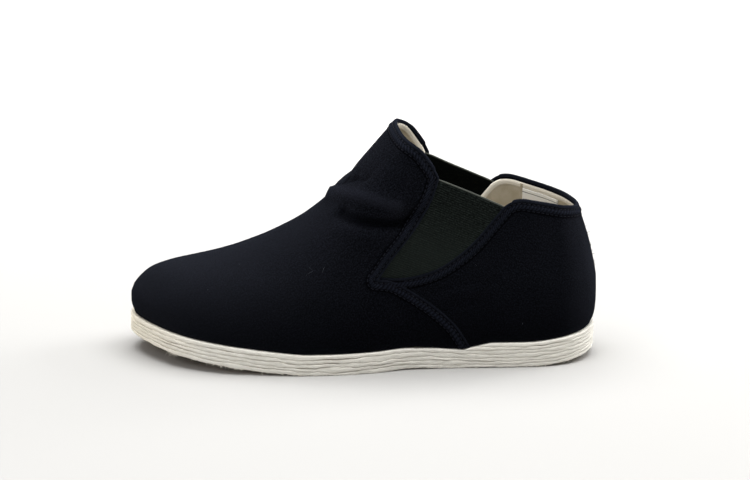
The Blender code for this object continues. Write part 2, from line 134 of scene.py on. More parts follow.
# %% Curves through the tables
def smooth_curve(places, values, at):
    """Curve through a column that never overshoots it."""
    at = np.clip(np.asarray(at, float), places[0], places[-1])
    step = np.diff(places)
    slope = np.diff(values) / step
    same_way = slope[:-1] * slope[1:] > 0
    heavy = 2 * step[1:] + step[:-1]
    light = step[1:] + 2 * step[:-1]
    left = np.where(same_way, slope[:-1], 1.0)
    right = np.where(same_way, slope[1:], 1.0)
    mean = (heavy + light) / (heavy / left + light / right)
    tangent = np.concatenate([slope[:1], np.where(same_way, mean, 0.0), slope[-1:]])
    cell = np.clip(np.searchsorted(places, at, side="right") - 1, 0, len(step) - 1)
    t = (at - places[cell]) / step[cell]
    rise = values[cell] * (1 + 2 * t) * (1 - t) ** 2 + values[cell + 1] * t * t * (3 - 2 * t)
    bend = tangent[cell] * t * (1 - t) ** 2 - tangent[cell + 1] * t * t * (1 - t)
    return rise + step[cell] * bend


def column(table, number, at):
    return smooth_curve(table[:, 0], table[:, number], at)


def soft_step(value, low, high):
    t = np.clip((value - low) / (high - low), 0, 1)
    return t * t * (3 - 2 * t)


def bell(value, middle_at, width):
    return np.exp(-((value - middle_at) / width) ** 2)


def unit(way):
    return way / np.maximum(np.linalg.norm(way, axis=-1, keepdims=True), 1e-12)


# %% The form of the last
def x_at(share):
    return (share - HEEL_SPOT) * LENGTH


def share_at(x):
    return x / LENGTH + HEEL_SPOT


def half_width(share):
    half = OUTLINE[:, 1] * OUTLINE[:, 2] / 2
    return np.sqrt(np.maximum(smooth_curve(OUTLINE[:, 0], half * half, share), 0.0))


def middle(share):
    return column(OUTLINE, 3, share) * BALL_WIDTH


def sole_bottom(share):
    toe = np.clip((share - TOE_FROM) / TOE_RUN, 0, 1)
    heel = np.clip(1 - share / HEEL_RUN, 0, 1)
    waist = np.clip((share - WAIST_FROM) / WAIST_RUN, 0, 1)
    return TOE_RISE * toe ** 1.15 + HEEL_RISE * heel ** 1.6 + WAIST_RISE * np.sin(pi * waist) ** 2


def ply_pitch(share):
    return PLY_PITCH * column(PLY_ALONG, 1, share)


def heel_ply_front(number):
    return HEEL_PLY_FRONT - number * HEEL_PLY_SET_BACK


def ply_base(number, share):
    """Underside of a ply, counted from the floor; the sixth and seventh lie only under the heel."""
    base = sole_bottom(share) + min(number, FULL_PLIES) * ply_pitch(share)
    for heel_ply in range(number - FULL_PLIES):
        ramp = soft_step(heel_ply_front(heel_ply) - share, 0, SKIVE)
        base = base + ply_pitch(share) * ramp
    return base


def seat(share):
    return ply_base(FULL_PLIES + HEEL_PLIES, share)


BALL_SEAT = float(seat(np.float64(BALL_SPOT)))


# %% Walls of the upper over the sole
def ridge_height(share):
    square = smooth_curve(SECTIONS[:, 0], SECTIONS[:, 1] ** 2, share)
    return seat(share) + INSTEP_RISE * np.sqrt(np.maximum(square, 0.0))


def back_lean(share, height):
    fade = np.clip(1 - share / LEAN_END, 0, 1) ** 2
    return BACK_LEAN * column(BACK_LINE, 1, (height - seat(share)) / BACK_RISE) * fade


def wall_half_width(share, height):
    over_seat = height - seat(share)
    full = np.maximum(ridge_height(share) - seat(share), 1e-6)
    up = np.clip(over_seat / full, 0, 1)
    lean_in = np.clip(over_seat / (TAPER_REACH * INSTEP_RISE), 0, 2) ** 1.5
    taper = (column(SECTIONS, 2, share) - 1) * lean_in
    return half_width(share) * (1 + taper) * np.sqrt(1 - up ** column(SECTIONS, 3, share))


def wall_middle(share, height):
    reach = SWING_REACH * TAPER_REACH * INSTEP_RISE
    return middle(share) * np.clip(1 - (height - seat(share)) / reach, 0, 1)


def wall_x(share, height):
    return x_at(share) + back_lean(share, height)


def outside(share, y, height):
    return (y - wall_middle(share, height)) ** 2 - wall_half_width(share, height) ** 2


def on_last(share, height, side):
    """Points of the last's surface and the directions straight out of it."""
    share, height, side = np.broadcast_arrays(share, height, side)
    y = wall_middle(share, height) + side * wall_half_width(share, height)
    before = np.clip(share - SMALL, 0, 1)
    after = np.clip(share + SMALL, 0, 1)
    along = outside(after, y, height) - outside(before, y, height)
    along = along / (wall_x(after, height) - wall_x(before, height))
    lean = (wall_x(share, height + SMALL) - wall_x(share, height - SMALL)) / (2 * SMALL)
    up = (outside(share, y, height + SMALL) - outside(share, y, height - SMALL)) / (2 * SMALL)
    way = unit(np.stack([along, 2 * (y - wall_middle(share, height)), up - along * lean], -1))
    # at the very toe the wall has no width, so its way out is straight ahead; at its foot, level
    way[share >= 1 - 1e-9] = (1.0, 0.0, 0.0)
    way[np.abs(height - seat(share) - CLEAR) < 1e-6, 2] = 0
    way = unit(way)
    return np.stack([wall_x(share, height), y, height], -1), way


print(f"ball seat {BALL_SEAT / MM:.1f} mm over the floor, instep ridge "
      f"{float(ridge_height(np.float64(0.44))) / MM:.1f} mm")

# %% [markdown]
# ## Lines on the last
# A pattern cutter draws seams as side-view lines and wraps them round the last. A line here is a
# smooth curve through a few table rows. Each of its points is then looked up on the last's surface,
# which gives its place along the sole, its height and its side.

# %% Side-view lines and sections
def side_line(table, steps=12):
    """Smooth line through a table's rows, in metres along the shoe and up."""
    rows = np.array(table, float)
    points = np.stack([x_at(rows[:, 0]), BALL_SEAT + INSTEP_RISE * rows[:, 1]], 1)
    padded = np.concatenate([[2 * points[0] - points[1]], points, [2 * points[-1] - points[-2]]])
    line = []
    for i in range(1, len(padded) - 2):
        a, b, c, d = padded[i - 1:i + 3]
        for t in np.arange(steps) / steps:
            line.append(0.5 * (2 * b + (c - a) * t + (2 * a - 5 * b + 4 * c - d) * t ** 2
                               + (3 * b - a - 3 * c + d) * t ** 3))
    line.append(points[-1])
    return np.array(line)


def to_share(x, height):
    """Place along the sole of a side-view point, with the heel's lean taken off."""
    share = np.clip(share_at(x), 0, 1)
    for _ in range(12):
        share = np.clip(share_at(x - back_lean(share, height)), 0.0, 1)
    return share


def lengths_along(points):
    step = np.linalg.norm(np.diff(points, axis=0), axis=1)
    return np.concatenate([[0], np.cumsum(step)])


def spread(rows, points, count):
    """The rows of numbers read at evenly spaced places along the points."""
    run = lengths_along(points)
    wanted = np.linspace(0, run[-1], count + 1)
    return np.stack([np.interp(wanted, run, rows[:, i]) for i in range(rows.shape[1])], 1)


def arc_table(share, samples=90):
    """For each place along the sole: heights up one wall to the ridge, and the arc run to each."""
    foot = seat(share) + CLEAR
    rise = np.maximum(ridge_height(share) - foot, 0)
    along = np.linspace(0, 1, samples)
    height = foot[:, None] + rise[:, None] * (1 - (1 - along) ** 2)
    half = wall_half_width(share[:, None], height)
    step = np.hypot(np.diff(half, axis=1), np.diff(height, axis=1))
    run = np.concatenate([np.zeros((len(share), 1)), np.cumsum(step, axis=1)], 1)
    return height, run


def wrapped(line, side=1, spacing=0.9 * MM):
    """A side-view line laid on the last and cut into even steps: place, height."""
    share = to_share(line[:, 0], line[:, 1])
    points, _ = on_last(share, line[:, 1], side)
    count = max(2, round(lengths_along(points)[-1] / spacing))
    return spread(np.stack([share, line[:, 1]], 1), points, count)


# %% The edge of the vamp from the sole up to the peak
seam = side_line(VAMP_REAR_EDGE)[::-1]
foot_there = seat(share_at(seam[:, 0])) + CLEAR
first = int(np.argmax(seam[:, 1] > foot_there))
low, high = seam[first - 1], seam[first]
foot_step = foot_there[first] - foot_there[first - 1]
cut = (foot_there[first - 1] - low[1]) / ((high[1] - low[1]) - foot_step)
seam = np.concatenate([[low + cut * (high - low)], seam[first:]])
seam[0, 1] = seat(share_at(seam[0, 0])) + CLEAR

tongue = side_line(COLLAR_FRONT, 30)
over = tongue[:, 1] - ridge_height(share_at(tongue[:, 0]))
last = int(np.argmax(over > 0))
cut = -over[last - 1] / (over[last] - over[last - 1])
tongue = np.concatenate([tongue[:last], [tongue[last - 1] + cut * (tongue[last] - tongue[last - 1])]])
tongue[-1, 1] = ridge_height(share_at(tongue[-1, 0])) - 1e-7

gore_front = side_line(GORE_FRONT_EDGE)[::-1]
gore_rear = side_line(GORE_REAR_EDGE)
heel_collar = side_line(COLLAR_REAR)
print("seam foot at x", round(seam[0, 0] / MM, 1), "mm, peak at", np.round(tongue[-1] / MM, 1))

# %% [markdown]
# ## Folds
# The cloth is slack where the instep bends, so it lies in one crescent fold across the tongue with a
# hollow under it, and in faint wrinkles along the quarter. Noise would never put them there. Each
# fold is a short line on the last with a height and a width, and pushes the cloth out or in.

# %% Folds placed one by one: side, push in mm, width in mm, then x and z in mm along the fold
FOLDS = (
    (1, 2.7, 4.6, ((96, 98), (90, 101), (82, 102), (72, 100), (61, 97))),
    (1, -2.4, 1.9, ((92, 102.5), (88, 106), (83, 109.5), (78, 111))),
    (1, -2.5, 2.1, ((88, 107.5), (84, 109.5))),
    (1, -3.6, 3.7, ((93, 92), (88, 90), (80, 88.5), (70, 87.3), (60, 87), (54, 89), (50, 93))),
    (1, 1.0, 6.0, ((92, 84), (82, 80), (70, 79), (58, 80))),
    (-1, 1.2, 6.0, ((97, 97), (90, 100), (81, 100), (72, 97), (62, 93))),
    (-1, -1.1, 4.6, ((93, 91), (86, 88), (77, 86), (67, 84), (58, 84))),
    (-1, -0.8, 3.0, ((92, 103), (86, 107), (80, 108.5))),
    (1, -0.8, 2.4, ((40, 45), (30, 49), (18, 51), (4, 52))),
    (1, 0.6, 2.8, ((36, 41), (24, 45.5), (10, 47))),
    (1, -0.7, 2.4, ((32, 35), (20, 40), (6, 42))),
    (-1, -0.40, 3.0, ((38, 44), (26, 47), (10, 49))),
    (-1, -0.35, 3.0, ((30, 33), (16, 38), (2, 40))),
    (1, -0.7, 7.0, ((62, 48), (56, 38), (50, 30))),
    (1, 0.5, 6.0, ((74, 50), (68, 38), (62, 28))),
    (-1, -0.6, 7.0, ((60, 46), (54, 36), (48, 28))),
    (1, -0.5, 9.0, ((128, 56), (120, 45), (112, 36))),
    (-1, -0.5, 9.0, ((124, 54), (116, 44), (108, 34))),
)
SLACK = 0.22 * MM


# %% Distance from a line, and the push of the folds
def near_line(points, line):
    """Distance of each point from a line in space."""
    flat = points.reshape(-1, 3)
    best = np.full(len(flat), 1e9)
    for start, end in zip(line[:-1], line[1:]):
        way = end - start
        t = np.clip((flat - start) @ way / max(float(way @ way), 1e-18), 0, 1)
        gap = flat - start - t[:, None] * way
        best = np.minimum(best, np.einsum("ij,ij->i", gap, gap))
    return np.sqrt(best).reshape(points.shape[:-1])


fold_lines = []
for side, push, width, track in FOLDS:
    track = np.array(track, float) * MM
    run = lengths_along(track)
    fine = np.linspace(0, run[-1], 16)
    fx, fz = (smooth_curve(run, track[:, i], fine) if len(track) > 2 else np.interp(fine, run, track[:, i])
              for i in (0, 1))
    fs = to_share(fx, fz)
    line, _ = on_last(fs, np.minimum(fz, ridge_height(fs) - 1e-6), side)
    fold_lines.append((line, push * MM, width * MM))


def folded(points, loose_fit=0.0):
    """How far the folds and slackness push each point out. A loose fit gives a lining more room."""
    push = np.zeros(points.shape[:-1])
    for line, height, width in fold_lines:
        reach = near_line(points, line) / (width + (loose_fit if height < 0 else 0))
        push = push + height * np.exp(-reach * reach)
    flat = points.reshape(-1, 3)
    loose = np.array([noise.noise(Vector(p) * 38) + 0.5 * noise.noise(Vector(p) * 95) for p in flat])
    return push + SLACK * loose.reshape(push.shape)


print("folds:", len(FOLDS))

# %% [markdown]
# ## Building a sewn panel
# A cloth panel has an outer face, an inner face and a turned edge that rolls from one to the other.
# It is built as one grid that starts on the inner face, goes round the edge and comes back on the
# outer face, and is then closed along its other sides. That gives a closed sheet with a soft rim,
# which neither a flat cut nor a plain thickness would give.

# %% Panels, rims and pieces
RIM_STEPS = 3


def rim(outer, inner):
    """Half-round edge between the first columns of the two faces."""
    centre = (outer[:, 0] + inner[:, 0]) / 2
    half = (outer[:, 0] - inner[:, 0]) / 2
    radius = np.linalg.norm(half, axis=1, keepdims=True)
    tangent = unit(np.gradient(centre, axis=0))
    away = unit(np.cross(tangent, unit(half)))
    back = outer[:, 0] - outer[:, 1]
    away = away * np.where(np.einsum("ij,ij->i", away, back) < 0, -1, 1)[:, None]
    turns = np.linspace(-pi / 2, pi / 2, RIM_STEPS + 2)[1:-1]
    return np.stack([centre + half * sin(t) + away * radius * cos(t) for t in turns], 1)


def both_faces(values):
    """Numbers of the outer face given to the inner one too, with nothing on the rim between."""
    return np.concatenate([values[:, ::-1], np.zeros((len(values), RIM_STEPS)), values], axis=1)


def panel(name, outer, inner, uv, edge, push=None):
    """Closed sheet from two faces of points. Axis 0 runs along the rim, axis 1 away from it."""
    grid = np.concatenate([inner[:, ::-1], rim(outer, inner), outer], axis=1)
    count, width = grid.shape[:2]
    deep = outer.shape[1]
    bend = np.linspace(1, 2, RIM_STEPS) * MM * 0.5
    rim_uv = np.stack([uv[:, 0] - np.array((0.0, b)) for b in bend[::-1]], 1)
    flat_uv = np.concatenate([uv[:, ::-1] - (0, 3 * MM), rim_uv, uv], axis=1).reshape(-1, 2) / MM
    along = np.repeat(lengths_along(outer[:, 0])[:, None] / MM, width, axis=1)
    folds = np.zeros(edge.shape) if push is None else push / MM
    marks = np.stack([both_faces(edge), along, both_faces(folds)], -1).reshape(-1, 3)
    number = np.arange(count * width).reshape(count, width)
    quads = np.stack([number[:-1, :-1], number[:-1, 1:], number[1:, 1:], number[1:, :-1]], -1)
    faces = quads.reshape(-1, 4).tolist()
    faces += np.stack([number[:-1, -1], number[:-1, 0], number[1:, 0], number[1:, -1]], -1).tolist()
    for row, turn in ((number[0], 1), (number[-1], -1)):
        inside = row[:deep][::-1]
        out = row[-deep:]
        strip = np.stack([inside[:-1], out[:-1], out[1:], inside[1:]], -1)
        faces += [list(f)[::turn] for f in strip.tolist()]
        faces.append(row[deep - 1:deep + RIM_STEPS + 1].tolist()[::-turn])
    mesh = bpy.data.meshes.new(name)
    mesh.from_pydata(grid.reshape(-1, 3).tolist(), [], faces)
    bm = bmesh.new()
    bm.from_mesh(mesh)
    layers = [bm.verts.layers.float.new(key) for key in ("edge", "along", "crease")]
    layer = bm.loops.layers.uv.new("cloth")
    for vert, values in zip(bm.verts, marks):
        for number_layer, value in zip(layers, values):
            vert[number_layer] = value
    for face in bm.faces:
        for loop in face.loops:
            loop[layer].uv = flat_uv[loop.vert.index]
    bmesh.ops.remove_doubles(bm, verts=bm.verts, dist=2e-6)
    bmesh.ops.recalc_face_normals(bm, faces=bm.faces)
    open_edges = sum(len(e.link_faces) != 2 for e in bm.edges)
    bm.to_mesh(mesh)
    bm.free()
    return piece(name, mesh, note=f"{open_edges} open edges")


# %% Pieces
def piece(name, mesh, note=""):
    obj = bpy.data.objects.new(name, mesh)
    scene.collection.objects.link(obj)
    mesh.shade_smooth()
    print(f"{name}: {len(mesh.polygons)} faces {note}")
    return obj


def mesh_piece(name, verts, faces):
    mesh = bpy.data.meshes.new(name)
    mesh.from_pydata([tuple(v) for v in verts], [], faces)
    return piece(name, mesh)


def sunk(points, out, depth):
    """Points moved in from the last's surface."""
    return points - out * depth[..., None]


def side_signs(count):
    """1 for the rows of the near side, -1 for those of the far side."""
    return np.concatenate([np.ones(count), -np.ones(count - 1)])[:, None]


def sew_in(obj, material, slot, *nodes):
    """Give a piece its material and let it stand for its solids; its slot is not used."""
    obj.data.materials.clear()
    obj.data.materials.append(material)
    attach(obj, "root")
    if nodes:
        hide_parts(*nodes)
    return obj


# %% [markdown]
# ## The vamp
# The vamp is the front panel. Its rear edge runs from the sole up the curved seam over the quarter,
# turns back along the gore, and goes on round the collar to the peak of the tongue. Each row of the
# grid starts on that edge and runs forward to the toe, so that the hem, its two stitched lines and
# its raised roll can follow the edge exactly, with no ragged cuts.

# %% Grid of the vamp
CLOTH = 1.0 * MM
HEM_WIDTH = 6.5 * MM
STITCH_ROWS = (1.5 * MM, 5.4 * MM)
TURNED_FROM, TURNED_TO = 2.8 * MM, 3.5 * MM
FINE_STEPS = 12
edge_parts = [wrapped(seam), wrapped(gore_front), wrapped(tongue)]
edge_near = np.concatenate([edge_parts[0], edge_parts[1], edge_parts[2][1:]])
edge_near[0, 1] = seat(edge_near[0, 0]) + CLEAR
edge_near[-1, 1] = ridge_height(edge_near[-1, 0])
sew_rows = len(edge_parts[0]) + len(edge_parts[1])


def forward_steps(first, growth, largest, closing):
    """Shares of the way from the edge to the toe, fine at the edge and at the toe."""
    places = [0.0]
    step = first
    while places[-1] + step < 1 - closing:
        places.append(places[-1] + step)
        if len(places) > FINE_STEPS:
            step = min(step * growth, largest)
    left = 1 - places[-1]
    tail = 1 - left * (1 - np.arange(1, FINE_STEPS + 1) / FINE_STEPS) ** 1.7
    return np.concatenate([places, tail])


def vamp_grid(edge, forward):
    """Places along the sole and heights for rows that keep one share of the arc up to the ridge."""
    height, run = arc_table(edge[:, 0])
    arc = [np.interp(z, h, r) / r[-1] for z, h, r in zip(edge[:, 1], height, run)]
    arc[0], arc[-1] = 0.0, 1.0
    share = edge[:, :1] + (1 - edge[:, :1]) * forward
    flat = share.reshape(-1)
    height, run = arc_table(flat)
    wanted = np.repeat(arc, len(forward)) * run[:, -1]
    z = np.array([np.interp(w, r, h) for w, r, h in zip(wanted, run, height)]).reshape(share.shape)
    z[-1] = ridge_height(share[-1])
    length = wanted.reshape(share.shape)
    return share, z, length


def both_sides(array):
    """Near side from the sole to the ridge, then on down the far side."""
    return np.concatenate([array, array[:-1][::-1]])


forward = forward_steps(0.0028, 1.13, 0.0165, 0.16)
share, z, girth = vamp_grid(edge_near, forward)
sides = side_signs(len(share))
share, z, girth = both_sides(share), both_sides(z), both_sides(girth)
vamp_points, vamp_out = on_last(share, z, sides)
vamp_push = folded(vamp_points)
print("vamp grid", vamp_points.shape[:2])

# %% Hem, thickness and foot of the vamp
# how high a hem stands, how much more where it is sewn down, and how softly both end
HEM_RISE, SEWN_RISE, HEM_SOFT, LIFT_SOFT = 0.55 * MM, 0.35 * MM, 0.5 * MM, 0.6 * MM
# the puff between the two rows of stitches, and the dips that the rows pull in
PUFF, PUFF_AT, PUFF_WIDE = 0.42 * MM, 3.4 * MM, 1.3 * MM
DIP, FIRST_DIP_WIDE, SECOND_DIP_WIDE = 0.46 * MM, 0.55 * MM, 0.70 * MM


def under(distance, limit, soft):
    """1 below the limit, 0 above it, with a soft step between."""
    return 1 - soft_step(distance, limit - soft, limit + soft)


def hem(distance, rise):
    """Raised double hem: a step down at its inner line, and two sunk stitch lines."""
    raised = rise * under(distance, HEM_WIDTH, HEM_SOFT)
    dips = bell(distance, STITCH_ROWS[0], FIRST_DIP_WIDE)
    dips = dips + 1.5 * bell(distance, STITCH_ROWS[1], SECOND_DIP_WIDE)
    return raised + PUFF * bell(distance, PUFF_AT, PUFF_WIDE) - DIP * dips


def at_foot(height, share):
    """How the cloth turns in just above the sole, under a fuller roll round the toe and heel."""
    over = height - seat(share) - CLEAR
    toe = soft_step(share, 0.86, 0.97)
    heel = 1 - soft_step(share, 0.03, 0.14)
    tuck = -(0.7 + 0.5 * toe + 0.3 * heel) * MM * bell(over, 0, (1.3 + 2.2 * toe + heel) * MM)
    roll = (1.5 * toe + 0.3 * heel) * MM * bell(over, 12 * MM, 7.5 * MM)
    return tuck + roll


vamp_edge = vamp_points[:, 0]
to_sewn = np.minimum(near_line(vamp_points, vamp_edge[:sew_rows]),
                     near_line(vamp_points, vamp_edge[-sew_rows:]))
to_collar = near_line(vamp_points, vamp_edge[sew_rows - 1:1 - sew_rows])
vamp_to_edge = np.minimum(to_sewn, to_collar)
sewn_lift = under(to_sewn, HEM_WIDTH, LIFT_SOFT)
rise = HEM_RISE + SEWN_RISE * sewn_lift
vamp_depth = LEDGE - vamp_push - hem(vamp_to_edge, rise) - at_foot(z, share)
# at the collar the cloth is turned in double, so the panel is thicker there
turned_in = 1 - soft_step(to_collar, TURNED_FROM, TURNED_TO)
thick = CLOTH + (0.95 * MM + (rise - 0.2 * MM)) * turned_in * (1 - sewn_lift)
vamp_outer = sunk(vamp_points, vamp_out, vamp_depth)
vamp_inner = sunk(vamp_points, vamp_out, vamp_depth + thick)
vamp_uv = np.stack([x_at(share), girth], -1)
vamp = panel("vamp_cloth", vamp_outer, vamp_inner, vamp_uv, vamp_to_edge / MM, push=vamp_push)

# %% [markdown]
# ## The quarter
# The quarter wraps the heel in one piece and is sewn under the vamp. Its grid runs from the near
# front end round the heel to the far front end. Its top edge follows the gore and then the collar,
# and its lower edge stands on the sole, then hides a few millimetres inside the vamp's seam.

# %% Grid of the quarter
LAP = 5.0 * MM


def beside(line, distance):
    along = np.gradient(line, axis=0)
    along = along / np.linalg.norm(along, axis=1)[:, None]
    return line + distance * np.stack([-along[:, 1], along[:, 0]], 1)


def quarter_top(spacing):
    """Top edge from the heel forward: collar, then along the gore, stopped under the vamp."""
    collar = heel_collar[to_share(heel_collar[:, 0], heel_collar[:, 1]) > 0.0005]
    first_height = collar[0, 1] - 0.6 * MM
    lean = float(back_lean(np.float64(0.0), first_height))
    collar = np.concatenate([[(x_at(0.0) + lean, first_height)], collar])
    parts = [wrapped(collar, spacing=spacing), wrapped(gore_rear[:-1], spacing=spacing)[1:]]
    parts[0][0, 0] = 0.0
    return np.concatenate(parts), len(parts[0])


top_near, heel_rows = quarter_top(1.0 * MM)
under_seam = beside(seam, -LAP)
under_seam = under_seam[np.argsort(under_seam[:, 0])]


def quarter_foot(share):
    """Lower edge below each place of the top edge."""
    foot = seat(share) + CLEAR
    hidden = np.interp(x_at(share), under_seam[:, 0], under_seam[:, 1], left=-1, right=1)
    return np.maximum(foot, np.where(x_at(share) < under_seam[0, 0], foot, hidden))


def quarter_grid(top, down):
    """Places and heights for rows down from the top edge, round the heel from near to far front end."""
    foot = np.minimum(quarter_foot(top[:, 0]), top[:, 1] - 2.5 * MM)
    z = top[:, 1][:, None] + (foot - top[:, 1])[:, None] * down
    share = np.repeat(top[:, :1], len(down), axis=1)
    return [np.concatenate([array[::-1], array[1:]]) for array in (share, z)]


fine = np.arange(0, 14) * 0.0105
down = np.concatenate([fine, np.linspace(fine[-1] + 0.012, 1, 52)])
share, z = quarter_grid(top_near, down)
quarter_points, quarter_out = on_last(share, z, side_signs(len(top_near)))
quarter_push = folded(quarter_points)
along_heel = lengths_along(quarter_points[:, 30])
print("quarter grid", quarter_points.shape[:2])

# %% Hem and thickness of the quarter
top_run = quarter_points[:, 0]
gore_rows = len(top_near) - heel_rows
quarter_to_edge = near_line(quarter_points, top_run)
to_gore = np.minimum(near_line(quarter_points, top_run[:gore_rows]),
                     near_line(quarter_points, top_run[-gore_rows:]))
to_collar = near_line(quarter_points, top_run[gore_rows:-gore_rows])
gore_lift = under(to_gore, HEM_WIDTH, LIFT_SOFT)
# the hem goes flat where the quarter slips under the vamp
quarter_hem = hem(quarter_to_edge, HEM_RISE) * (1 - soft_step(share, 0.455, 0.475))
quarter_depth = LEDGE - quarter_push - quarter_hem - at_foot(z, share)
turned_in = 1 - soft_step(to_collar, TURNED_FROM, TURNED_TO)
thick = CLOTH + 1.3 * MM * turned_in * (1 - gore_lift)
quarter_outer = sunk(quarter_points, quarter_out, quarter_depth)
quarter_inner = sunk(quarter_points, quarter_out, quarter_depth + thick - 0.15 * MM)
quarter_uv = np.stack([np.repeat(along_heel[:, None], z.shape[1], 1), z], -1)
quarter = panel("quarter_cloth", quarter_outer, quarter_inner, quarter_uv, quarter_to_edge / MM,
                push=quarter_push)

# %% [markdown]
# ## Linings
# A beige canvas lining backs both panels, and its turned edge shows as a pale line just inside the
# collar. It is built like the cloth, one wall deeper and on a coarser grid, with its rim a little
# lower than the cloth's.

# %% Lining panels
LINING_OUT = LEDGE + 1.15 * MM
LINING_IN = LEDGE + WALL
LINING_DROP = 2.3 * MM
LOOSE_FIT = 1.8 * MM


def lining_panel(name, share, z, sides):
    points, out = on_last(share, z, sides)
    rim_points, _ = on_last(share[:, 0], z[:, 0], sides[:, 0])
    to_rim = near_line(points, rim_points)
    push = folded(points, LOOSE_FIT) + at_foot(z, share)
    roll = 0.30 * MM * bell(to_rim, 1.2 * MM, 1.0 * MM)
    seam_dip = 0.25 * MM * bell(to_rim, 3.2 * MM, 0.5 * MM)
    outer = sunk(points, out, LINING_OUT - push)
    inner = sunk(points, out, LINING_IN - push + roll - seam_dip)
    uv = np.stack([points[..., 0] + points[..., 1] * 0.3, z], -1)
    return panel(name, inner, outer, uv, to_rim / MM)


# %% Lining of the vamp
coarse = edge_near[::3] if len(edge_near) % 3 == 1 else np.concatenate([edge_near[::3], edge_near[-1:]])
inner_edge = coarse + np.array([LINING_DROP / LENGTH, 0.0])
inner_edge[:, 1] = np.minimum(inner_edge[:, 1], ridge_height(inner_edge[:, 0]))
inner_edge[0, 1] = seat(inner_edge[0, 0]) + CLEAR
inner_edge[-1, 1] = ridge_height(inner_edge[-1, 0])
share, z, _ = vamp_grid(inner_edge, forward_steps(0.006, 1.16, 0.03, 0.14))
vamp_lining = lining_panel("vamp_lining", both_sides(share), both_sides(z), side_signs(len(share)))

# %% Lining of the quarter
lining_top, _ = quarter_top(2.0 * MM)
lining_top[:, 1] = np.maximum(lining_top[:, 1] - LINING_DROP, seat(lining_top[:, 0]) + CLEAR)
share, z = quarter_grid(lining_top, np.concatenate([np.arange(0, 6) * 0.018, np.linspace(0.11, 1, 22)]))
quarter_lining = lining_panel("quarter_lining", share, z, side_signs(len(lining_top)))

# %% [markdown]
# ## The gores
# Each gore is a wedge of ribbed elastic between vamp and quarter. Its ribs run level with its top
# edge, so the grid runs across the wedge in rows parallel to that edge, and each rib is a real low
# ridge. Real ribs are about 1 mm apart; these are 1.25 mm, so that they show. The gore's sides go on
# a few millimetres under the sewn edges, where they are pressed flat.

# %% Grid of a gore
TUCK = 3.5 * MM
RIB = 1.25 * MM
GORE_OUT = LEDGE + 0.55 * MM
GORE_THICK = 0.85 * MM
GORE_ROWS = 190
GORE_DROP = 0.15 * MM
GORE_WIDE = 35 * MM
RIB_HEIGHT = 0.27 * MM
SAG, SAG_REACH = 0.5 * MM, 25 * MM
PRESSED = 0.25 * MM


def gore(name, side):
    tail = gore_rear[-1] + np.array(((0.5, -3.0), (-0.5, -3.0))) * MM
    front = np.concatenate([gore_front[::-1], tail[:1]])
    rear = np.concatenate([gore_rear, tail[1:]])
    front_at = spread(front, front, GORE_ROWS)
    rear_at = spread(rear, rear, GORE_ROWS)
    across = np.linspace(0, 1, 40)
    line = rear_at[:, None] + (front_at - rear_at)[:, None] * across[None, :, None]
    way = unit(front_at - rear_at + (1e-6, 0))
    reach = np.abs(across - 0.5) * 2
    shift = (np.sign(across - 0.5) * soft_step(reach, 0.80, 1.0))[None, :, None] * TUCK * way[:, None]
    line = line + shift
    x, z = line[..., 0], line[..., 1] - GORE_DROP
    points, out = on_last(to_share(x, z), z, side)
    top_way = unit(front_at[0] - rear_at[0])
    down_run = -((x - rear_at[0, 0]) * -top_way[1] + (z - rear_at[0, 1]) * top_way[0])
    tucked = soft_step(reach, 0.80, 0.95)[None]
    ribs = RIB_HEIGHT * np.cos(2 * pi * down_run / RIB) * (1 - tucked)
    sag = SAG * np.sin(pi * across)[None] * np.exp(-down_run / SAG_REACH)
    face = GORE_OUT + sag - folded(points)
    outer = sunk(points, out, face - ribs)
    inner = sunk(points, out, face + (GORE_THICK - PRESSED * tucked) + ribs * 0.6)
    uv = np.stack([np.repeat((across * GORE_WIDE)[None], GORE_ROWS + 1, 0), down_run], -1)
    order = (1, 0, 2)
    return panel(name, outer.transpose(order), inner.transpose(order), uv.transpose(order),
                 down_run.T / MM)


gore_near = gore("gore_near", 1)
gore_far = gore("gore_far", -1)

# %% [markdown]
# ## Stitches
# Two rows of black thread run along every hem. A bump map would only draw them, but real stitches
# stand up in small beads and sink between. Each row is traced where the hem's distance from the edge
# has one value, and short thread beads are laid along it and joined into one mesh.

# %% Sizes of the thread
STITCH = 2.5 * MM
STITCH_GAP = 0.5 * MM
THREAD = 0.30 * MM
BEAD_SIDES = 6


# %% Tracing a row, and laying beads on it
def trace(surface, out, distance, wanted):
    """Where each line away from the rim crosses one distance from the edge."""
    places, ways = [], []
    for line, normal, far in zip(surface, out, distance):
        hit = np.argmax(far > wanted)
        if hit == 0:
            continue
        t = (wanted - far[hit - 1]) / max(far[hit] - far[hit - 1], 1e-9)
        places.append(line[hit - 1] + t * (line[hit] - line[hit - 1]))
        ways.append(normal[hit])
    return np.array(places), np.array(ways)


def read_at(run, rows, place):
    return np.array([np.interp(place, run, rows[:, i]) for i in range(3)])


